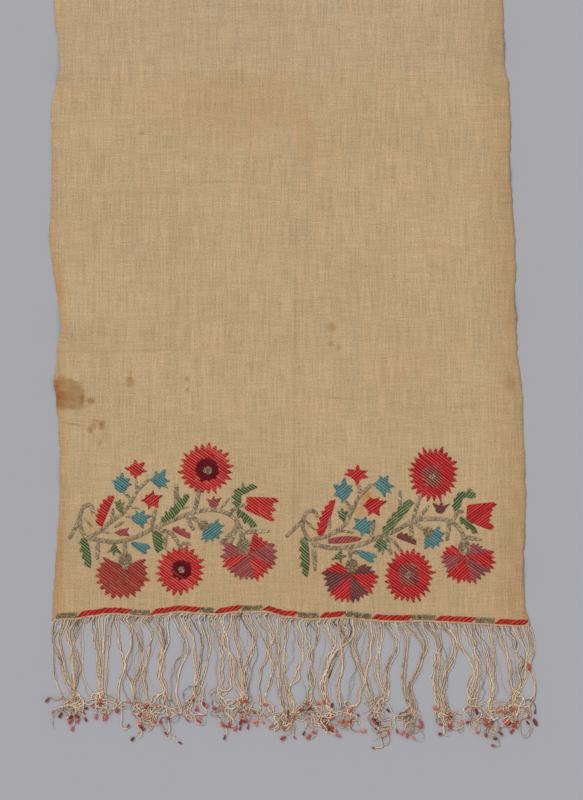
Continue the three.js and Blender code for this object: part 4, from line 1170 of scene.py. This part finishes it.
def cord_paths(seed=5):
    """Every cord as points (x, y, z) a short step apart, in mm."""
    r = np.random.default_rng(seed)
    cords = []
    names = sorted(TANGLES)
    for first, last, count, tangle, *way in RUNS:
        cx, cy, rx, ry, red = TANGLES[tangle]
        count += int(r.random() < 0.3)
        roots = np.linspace(first, last, count) + r.normal(0, 0.25, count)
        order = r.permutation(count)
        sway, beat, late = r.normal(0, 0.7), r.uniform(22, 40), r.random() * 6
        shared, aim = r.normal(0, 0.15, 50), (r.uniform(-0.9, 0.9), r.uniform(-1.0, 0.0))
        for i in range(count + int(r.choice([0, 1, 2, 2]))):
            stray = i >= count
            root = roots[i % count] + (1.2 if stray else 0.0)
            side = order[i % count] - (count - 1) / 2
            first_side = i % count - (count - 1) / 2
            edge = float(lower_edge(root))
            lean = r.normal(0.9, 0.35) * float(np.interp(root, (40, 75), (1, -0.8)))
            points = [(root + 1.4 * lean, edge + 1.2), (root, edge - 1.4), (root - 1.3 * lean, edge - 4.4 + r.normal(0, 0.5))]
            bow = float(np.clip(r.normal(0, 6.5), -9, 9)) * (0.2 if tangle in "at" else 1.0) if stray else 0.0
            for k, (x, y) in enumerate(way):
                if y > edge - 9:
                    continue
                close = (1.34, 1.12, 1.04, 0.96, 0.9, 0.9)[min(k, 5)]
                here = first_side if k == 0 else side
                off = bow * math.sin(math.pi * (k + 1) / (len(way) + 1)) * 1.3
                points.append((x + here * close + off + r.normal(0, 0.45), y + r.normal(0, 2.0)))
            before = len(points)
            x, y = points[-1]
            heading = math.atan2(y - points[-2][1], x - points[-2][0])
            goal = (cx + rx * (aim[0] + r.normal(0, 0.25)), cy + ry * (aim[1] + r.normal(0, 0.3)))
            tail = wander(r, shared, x, y, heading, cx, cy, rx * 0.66, ry * 1.0, goal, int(r.uniform(20, 40)))
            x, y, _, _, t = smooth_line(points + tail[1::2], 1.3)
            n = len(x)
            s = np.arange(n) * 1.3
            own, pace, lag = r.normal(0, 0.50), r.uniform(10, 26), r.random() * 6
            x = x + np.clip(s / 9 - 0.4, 0, 1) * (sway * np.sin(s / beat * 6.28 + late) + own * np.sin(s / pace * 6.28 + lag))
            for much in (np.minimum(x + 237, 0), np.maximum(x - 243, 0)):   # none strays far past the sides
                x = x - much * 0.6
            y = y - np.minimum(y + 126, 0) * 0.7
            loose = np.clip((s - (s[-1] - len(tail) * 1.3)) / 22, 0, 1)
            marks = np.arange(0, s[-1] + 14, 8.0)
            swell = np.interp(s, marks, r.random(len(marks)))
            z = 0.42 + (order[i % count] % 3) * 0.34 * (1 - loose) + swell * (0.25 + 2.2 * loose) + (0.7 if stray else 0)
            start = ground(x[:1], y[:1] + 1.5)[0] + SHEET_T / 2
            z = z + (start - z) * np.exp(-s / 3.0)
            thick = 0.60 if stray else r.choice([1.0, 1.0, 0.86, 1.1])
            cords.append((np.stack([x, y, np.maximum(z, CORD_R + 0.02)], -1), red, r.random(), thick))
    return cords


def root_shadows(kit):
    """Short dark strokes under the corded edge, between the cords: painted shadow in the gaps between the cords, partly
    also dark warp ends that show there.
    """
    r = kit.random
    for first, last, count, *_ in RUNS:
        for root in np.linspace(first, last, count * 3):
            if r.random() < (0.12 if 22 < root < 66 else 0.30) and root > -231:
                edge = float(lower_edge(root))
                long = r.uniform(3.5, 9.0)
                way = float(np.interp(root, (40, 75), (1, -1)))
                # each stroke is painted shadow between cords, partly a dark warp end
                kit.add(root + 1.9 * way, edge + 0.3, root + (1.9 - 0.72 * long) * way, edge + 0.3 - long, r.uniform(0.34, 0.50), 0.4, r.normal(0.4, 0.8), 0.7)


def tubes(name, paths, radii, sides, tones, twist=None, wide=0.0):
    """Closed tubes along paths in one mesh, each with a strip of the map."""
    points, f3, f4, tone, along_mm, around, uvs = [], [], [], [], [], [], []
    start = 0
    j = np.arange(sides)
    jn = (j + 1) % sides
    turn = j * 2 * math.pi / sides
    count = len(paths)
    rows = max(1, int(round(math.sqrt(count / 12))))
    columns = -(-count // rows)
    uv3, uv4 = [], []
    for number, (path, radius) in enumerate(zip(paths, radii)):
        n = len(path)
        t = np.gradient(path, axis=0)
        t /= np.linalg.norm(t, axis=1)[:, None]
        across = np.stack([-t[:, 1], t[:, 0], 0 * t[:, 0]], -1)
        across /= np.maximum(np.linalg.norm(across, axis=1)[:, None], 1e-6)
        up = np.cross(t, across)
        s = np.concatenate([[0], np.cumsum(np.linalg.norm(np.diff(path, axis=0), axis=1))])
        spin = 0 if twist is None else 2 * math.pi * s / twist
        lobe = 1 + wide * np.cos(2 * (turn[None] - (spin[:, None] if twist else 0)))
        ring = path[:, None] + radius[:, None, None] * lobe[..., None] * (
            np.cos(turn)[None, :, None] * across[:, None] + np.sin(turn)[None, :, None] * up[:, None])
        ends = [path[:1] - t[:1] * radius[0] * 0.6, path[-1:] + t[-1:] * radius[-1] * 0.6]
        block = np.concatenate([ends[0], ring.reshape(-1, 3), ends[1]])
        points.append(block)
        per = len(block)
        base = start
        k = np.arange(n - 1)[:, None]
        quads = np.stack([1 + k * sides + j, 1 + k * sides + jn, 1 + (k + 1) * sides + jn, 1 + (k + 1) * sides + j], -1).reshape(-1, 4)
        first = np.stack([np.zeros(sides, int), 1 + jn, 1 + j], -1)
        last = np.stack([np.full(sides, per - 1), 1 + (n - 1) * sides + j, 1 + (n - 1) * sides + jn], -1)
        f4.append(quads + base)
        f3.append(np.concatenate([first, last]) + base)
        tone.append(np.full(per, tones[number]))
        along_mm.append(np.concatenate([[0], np.repeat(s, sides), [s[-1]]]))
        # its strip of the map
        col, row = number % columns, number // columns
        u0, v0 = (col + 0.08) / columns, (row + 0.02) / rows
        du, dv = 0.84 / columns, 0.96 / rows
        total = s[-1] + 1.2
        va = (s[:-1, None] + 0.6) / total
        vb = (s[1:, None] + 0.6) / total
        ua, ub = j[None] / sides, (j[None] + 1) / sides
        q = np.stack(np.broadcast_arrays(ua, va) + np.broadcast_arrays(ub, va) + np.broadcast_arrays(ub, vb) + np.broadcast_arrays(ua, vb), -1)
        q = q.reshape(n - 1, sides, 4, 2) * [du, dv] + [u0, v0]
        uv4.append(q.reshape(-1, 2))
        lowv, highv = 0.6 / total, (s[-1] + 0.6) / total
        c0 = np.stack([np.stack([(j + 0.5) / sides, j * 0.0], -1), np.stack([(j + 1) / sides, j * 0 + lowv], -1), np.stack([j / sides, j * 0 + lowv], -1)], 1)
        c1 = np.stack([np.stack([(j + 0.5) / sides, j * 0 + 1.0], -1), np.stack([j / sides, j * 0 + highv], -1), np.stack([(j + 1) / sides, j * 0 + highv], -1)], 1)
        uv3.append(np.concatenate([c0, c1]).reshape(-1, 2) * [du, dv] + [u0, v0])
        around.append((np.tile(j / sides, n), spin))
        start += per
    flat = np.concatenate(points)
    ob = mesh_object(name, place(flat[:, 0], flat[:, 1], flat[:, 2]), [np.concatenate(f3), np.concatenate(f4)])
    point_values(ob, "tone", np.concatenate(tone))
    point_values(ob, "run_mm", np.concatenate(along_mm))
    corner_map(ob, "OFBake", np.concatenate([*uv3, *uv4]))
    return ob


def fringe_objects():
    cords = cord_paths()
    r = np.random.default_rng(8)
    halves = {"fringe_left": ([], [], []), "fringe_right": ([], [], [])}
    shade = ([], [], [])   # painted shadow: a thin dark strand that lies along a cord's lower side
    knobs = {"paths": [], "radii": [], "tones": []}
    for path, red, chance, thick in cords:
        n = len(path)
        radius = CORD_R * thick * (1 + 0.06 * np.sin(np.arange(n) * 0.9 + chance * 20))
        # an overhand knot or two in the tail
        for _ in range(1 + (chance > 0.6)):
            at = int(n - 4 - r.random() * 22)
            radius += CORD_R * 1.05 * np.exp(-((np.arange(n) - at) / 0.75) ** 2)
        path[:, 2] = np.maximum(path[:, 2], radius * 1.2 + 0.02)
        paths, radii, tones = halves["fringe_left" if path[0, 0] < 1 else "fringe_right"]
        paths.append(path)
        radii.append(radius)
        tones.append(r.normal(0.70, 0.90) if thick > 0.7 else r.normal(-0.5, 0.7))
        if thick > 0.7:
            # a painted shadow strand along this cord, drawn thicker nearer the tangle
            part = path[1:-2:2]
            way = np.gradient(part[:, :2], axis=0)
            way /= np.linalg.norm(way, axis=1)[:, None]
            off = np.stack([-way[:, 1], way[:, 0]], -1) * (0.42 + 0.1 * np.sin(np.arange(len(part)) * 0.5 + chance * 9))[:, None]
            dark = np.concatenate([part[:, :2] + off, np.maximum(part[:, 2:] - 0.16, 0.24)], 1)
            shade[0].append(dark)
            shade[1].append(0.19 + 0.07 * np.clip(-dark[:, 1] / 60 - 1, 0, 1))
            shade[2].append(r.normal(-1.7, 0.5))
        if chance < red * 0.88:
            end, before = path[-1], path[-4]
            d = end - before
            a = math.atan2(d[1], d[0]) + r.normal(0, 0.25)
            length, size = r.uniform(2.6, 6.0), r.uniform(0.70, 1.25)
            t = np.linspace(0, 1, 7)[:, None]
            knob = end + np.array([math.cos(a), math.sin(a), 0.0]) * length * (t - 0.15)
            knob[:, 2] = np.maximum(knob[:, 2], 1.8)
            knobs["paths"].append(knob)
            knobs["radii"].append(np.array([0.55, 0.85, 1.05, 1.15, 1.3, 1.35, 1.1]) * size)
            knobs["tones"].append(r.normal(-0.2, 1.0))
    for x, y, a, length, tone in ((238, -47, -1.35, 7, -0.2), (244, -102, -1.1, 7.5, -1.6), (-56, -108, 1.2, 5, 0.6)):
        t = np.linspace(0, 1, 7)[:, None]
        knobs["paths"].append(np.array([x, y, 1.9]) + np.array([math.cos(a), math.sin(a), 0.0]) * length * (t - 0.5))
        knobs["radii"].append(np.array([0.9, 1.5, 1.8, 1.7, 1.8, 1.5, 0.9]))
        knobs["tones"].append(tone)
    made = []
    for name, (paths, radii, tones) in halves.items():
        ob = tubes(name, paths, radii, 6, tones, twist=3.9, wide=0.16)
        made.append(ob)
    made.append(tubes("fringe_shade", *shade[:2], 3, shade[2]))
    made.append(tubes("fringe_tips", knobs["paths"], knobs["radii"], 8, knobs["tones"]))
    return made


def cord_material():
    """Two-ply cords twisted from the same thread as the cloth."""
    k = Nodes("twisted_cord")
    mm = k.millimetres()
    run = k.attribute("run_mm")
    ply = k.math("SINE", k.math("MULTIPLY", run, 2 * math.pi / 1.95))
    fine = k.math("MULTIPLY_ADD", k.noise(mm, 1.3, 3.0, 0.6), 4.0, -2.0)
    low = k.node("ShaderNodeSeparateXYZ")
    k.put(low.inputs[0], mm)
    tangle_shade = k.math("MULTIPLY", k.range(low.outputs[1], -62, -96), k.range(k.streaks(mm, 0.16, 0.16, 5.0, 2.0), 0.2, 0.8))
    wide = k.streaks(mm, 0.09, 0.05, 4.0, 2.0)
    tone = k.math("MULTIPLY_ADD", k.attribute("tone"), 0.60, k.math("MULTIPLY", fine, 0.62))
    tone = k.math("MULTIPLY_ADD", wide, 0.5, tone)
    # painted shade and highlight: the colour darkens in the grooves between the plies and lightens on their ridges
    tone = k.math("MULTIPLY_ADD", ply, 0.34, tone)
    # painted shade where the cords pile up in their knotted, tangled ends: darker there in patches
    tone = k.math("MULTIPLY_ADD", tangle_shade, -0.75, tone)
    # the darkest cord colour also serves the painted shadow strands of fringe_shade
    colour = k.mix(k.range(tone, -1.4, 0.0, smooth=False), rgb(84, 66, 50), rgb(209, 180, 148))
    colour = k.mix(k.range(tone, 0.0, 1.3, smooth=False), colour, rgb(232, 210, 184))
    # red has rubbed off on the cords near their tips
    near = k.math("MULTIPLY", k.range(low.outputs[1], -80, -108), k.range(k.streaks(mm, 0.30, 0.30, 9.0, 2.0), 0.25, 0.75, 0.0, 0.75))
    colour = k.mix(near, colour, rgb(190, 92, 62))
    k.link(colour, k.bsdf.inputs["Base Color"])
    k.link(k.bump(k.math("MULTIPLY_ADD", ply, 0.6, fine), 0.00012, 0.6), k.bsdf.inputs["Normal"])
    k.bsdf.inputs["Roughness"].default_value = 0.85
    k.bsdf.inputs["Specular IOR Level"].default_value = 0.3
    k.bsdf.inputs["Sheen Weight"].default_value = 0.08
    return k.mat


def tip_material():
    """Red floss wound round the cords' ends."""
    k = Nodes("wound_tip")
    mm = k.millimetres()
    run = k.attribute("run_mm")
    turns = k.math("SINE", k.math("MULTIPLY", run, 2 * math.pi / 0.62))
    fine = k.math("MULTIPLY_ADD", k.noise(mm, 0.8, 3.0, 0.6), 4.0, -2.0)
    # painted shade and highlight: the colour darkens between the wound turns and lightens on them
    tone = k.math("MULTIPLY_ADD", fine, 0.5, k.math("MULTIPLY_ADD", turns, 0.35, k.attribute("tone")))
    colour = k.mix(k.range(tone, -1.8, -0.2, smooth=False), rgb(104, 40, 34), rgb(190, 72, 56))
    colour = k.mix(k.range(tone, 0.0, 1.5, smooth=False), colour, rgb(224, 136, 106))
    k.link(colour, k.bsdf.inputs["Base Color"])
    k.link(k.bump(turns, 0.0001, 0.7), k.bsdf.inputs["Normal"])
    k.bsdf.inputs["Roughness"].default_value = 0.6
    k.bsdf.inputs["Specular IOR Level"].default_value = 0.35
    return k.mat


# ---------------------------------------------------------------- thread finishes
def floss_material(name, dark, mid, light):
    """Loose silky thread: fine strands along the stitch, each stitch its own tone."""
    k = Nodes(name)
    uv = k.node("ShaderNodeUVMap", uv_map="thread").outputs[0]
    strands = k.node("ShaderNodeMapping")
    k.put(strands.inputs["Vector"], uv)
    strands.inputs["Scale"].default_value = (0.16, 3.4, 1)
    fibre = k.math("MULTIPLY_ADD", k.noise(strands.outputs[0], 1.0, 3.0, 0.6), 4.0, -2.0)
    worn = k.streaks(k.millimetres(), 0.10, 0.10, 7.0, 2.0)
    tone = k.math("MULTIPLY_ADD", fibre, 0.42, k.attribute("tone"))
    tone = k.math("MULTIPLY_ADD", worn, 0.35, tone)
    colour = k.mix(k.range(tone, -1.3, 0.0, smooth=False), dark, mid)
    colour = k.mix(k.range(tone, 0.5, 2.0, smooth=False), colour, light)
    k.link(colour, k.bsdf.inputs["Base Color"])
    k.link(k.bump(fibre, 0.00008, 0.6), k.bsdf.inputs["Normal"])
    k.bsdf.inputs["Roughness"].default_value = 0.6
    k.bsdf.inputs["Specular IOR Level"].default_value = 0.14
    return k.mat


def metal_material():
    """Silver thread wound on silk, tarnished to olive and grey."""
    k = Nodes("tarnished_thread")
    uv = k.node("ShaderNodeUVMap", uv_map="thread").outputs[0]
    wind = k.node("ShaderNodeMapping")
    k.put(wind.inputs["Vector"], uv)
    wind.inputs["Scale"].default_value = (2.2, 1.1, 1)
    turns = k.math("MULTIPLY_ADD", k.noise(wind.outputs[0], 1.0, 2.0, 0.6), 4.0, -2.0)
    patch = k.streaks(k.millimetres(), 0.35, 0.35, 3.0, 2.0)
    tone = k.math("MULTIPLY_ADD", turns, 0.35, k.math("MULTIPLY_ADD", patch, 0.30, k.attribute("tone")))
    colour = k.mix(k.range(tone, -1.6, -0.1, smooth=False), rgb(82, 69, 48), rgb(142, 123, 93))
    colour = k.mix(k.range(tone, 0.1, 1.5, smooth=False), colour, rgb(202, 182, 146))
    k.link(colour, k.bsdf.inputs["Base Color"])
    k.link(k.bump(turns, 0.00008, 0.6), k.bsdf.inputs["Normal"])
    k.bsdf.inputs["Roughness"].default_value = 0.48
    k.bsdf.inputs["Metallic"].default_value = 0.15
    k.bsdf.inputs["Specular IOR Level"].default_value = 0.5
    return k.mat


FLOSS = {  # dark, middle, light
    "red": (rgb(120, 18, 22), rgb(176, 32, 34), rgb(216, 112, 100)),
    "crimson": (rgb(118, 12, 22), rgb(174, 24, 32), rgb(210, 94, 86)),
    "maroon": (rgb(62, 4, 14), rgb(102, 12, 24), rgb(150, 72, 70)),
    "greyring": (rgb(100, 32, 34), rgb(126, 44, 44), rgb(190, 146, 122)),
    "mauve": (rgb(106, 44, 50), rgb(144, 68, 70), rgb(180, 114, 104)),
    "maroonpink": (rgb(112, 40, 46), rgb(150, 66, 66), rgb(184, 112, 98)),
    "brown": (rgb(74, 34, 36), rgb(104, 56, 54), rgb(142, 96, 84)),
    "blue": (rgb(42, 88, 100), rgb(74, 119, 121), rgb(132, 162, 150)),
    "green": (rgb(42, 62, 34), rgb(68, 94, 52), rgb(162, 158, 118)),
}


# ---------------------------------------------------------------- making it
# the band's light colour serves the painted highlights on the rope's twists
FLOSS["band"] = (rgb(112, 10, 12), rgb(170, 30, 28), rgb(216, 96, 78))
FLOSS["cream"] = (rgb(160, 128, 92), rgb(198, 170, 136), rgb(222, 200, 168))
# the dark floss colours only the root strokes: painted shadow between the cords, partly dark warp ends
FLOSS["dark"] = (rgb(44, 32, 24), rgb(80, 60, 44), rgb(122, 98, 74))

cloth = cloth_object()
cloth.data.materials.append(cloth_material())
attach(cloth, "root")
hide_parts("cloth")

kits = {name: Stitches("stitches_" + name, 100 + i) for i, name in enumerate([*FLOSS, "metal"])}
sprigs(kits)
border(kits)
# the root strokes are painted shadow between the cords, partly dark warp ends
root_shadows(kits["dark"])
for name, kit in kits.items():
    ob = kit.build(5 if name == "metal" else 6)
    ob.data.materials.append(metal_material() if name == "metal" else floss_material("floss_" + name, *FLOSS[name]))
    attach(ob, "root")

for ob in fringe_objects():
    ob.data.materials.append(tip_material() if ob.name == "fringe_tips" else cord_material())
    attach(ob, "root")
    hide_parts("fringe")


# ---------------------------------------------------------------- floor, light, end
def studio():
    me = bpy.data.meshes.new("floor")
    r = 4.0
    me.from_pydata([(-r, -r, 0), (r, -r, 0), (r, r, 0), (-r, r, 0)], [], [(0, 1, 2, 3)])
    floor = bpy.data.objects.new("floor", me)
    bpy.context.scene.collection.objects.link(floor)
    k = Nodes("plain_floor")
    k.bsdf.inputs["Base Color"].default_value = FLOOR_TONE
    k.bsdf.inputs["Roughness"].default_value = 0.95
    k.bsdf.inputs["Specular IOR Level"].default_value = 0.1
    me.materials.append(k.mat)

    world = bpy.data.worlds.new("studio")
    bpy.context.scene.world = world
    world.use_nodes = True
    back = next(n for n in world.node_tree.nodes if n.type == "BACKGROUND")
    back.inputs[0].default_value = (1.0, 1.0, 1.0, 1)
    back.inputs[1].default_value = 0.64

    key = bpy.data.lights.new("key", "SUN")
    key.energy = 1.45
    key.angle = 0.45
    key.color = (1.0, 0.985, 0.96)
    lamp = bpy.data.objects.new("key", key)
    # from the upper left, high enough for short soft shadows
    lamp.rotation_euler = (math.radians(-30), math.radians(-28), 0)
    bpy.context.scene.collection.objects.link(lamp)


FLOOR_TONE = (0.392, 0.390, 0.420, 1)
studio()
bpy.context.scene.view_settings.view_transform = "Standard"
bpy.context.scene.view_settings.look = "None"
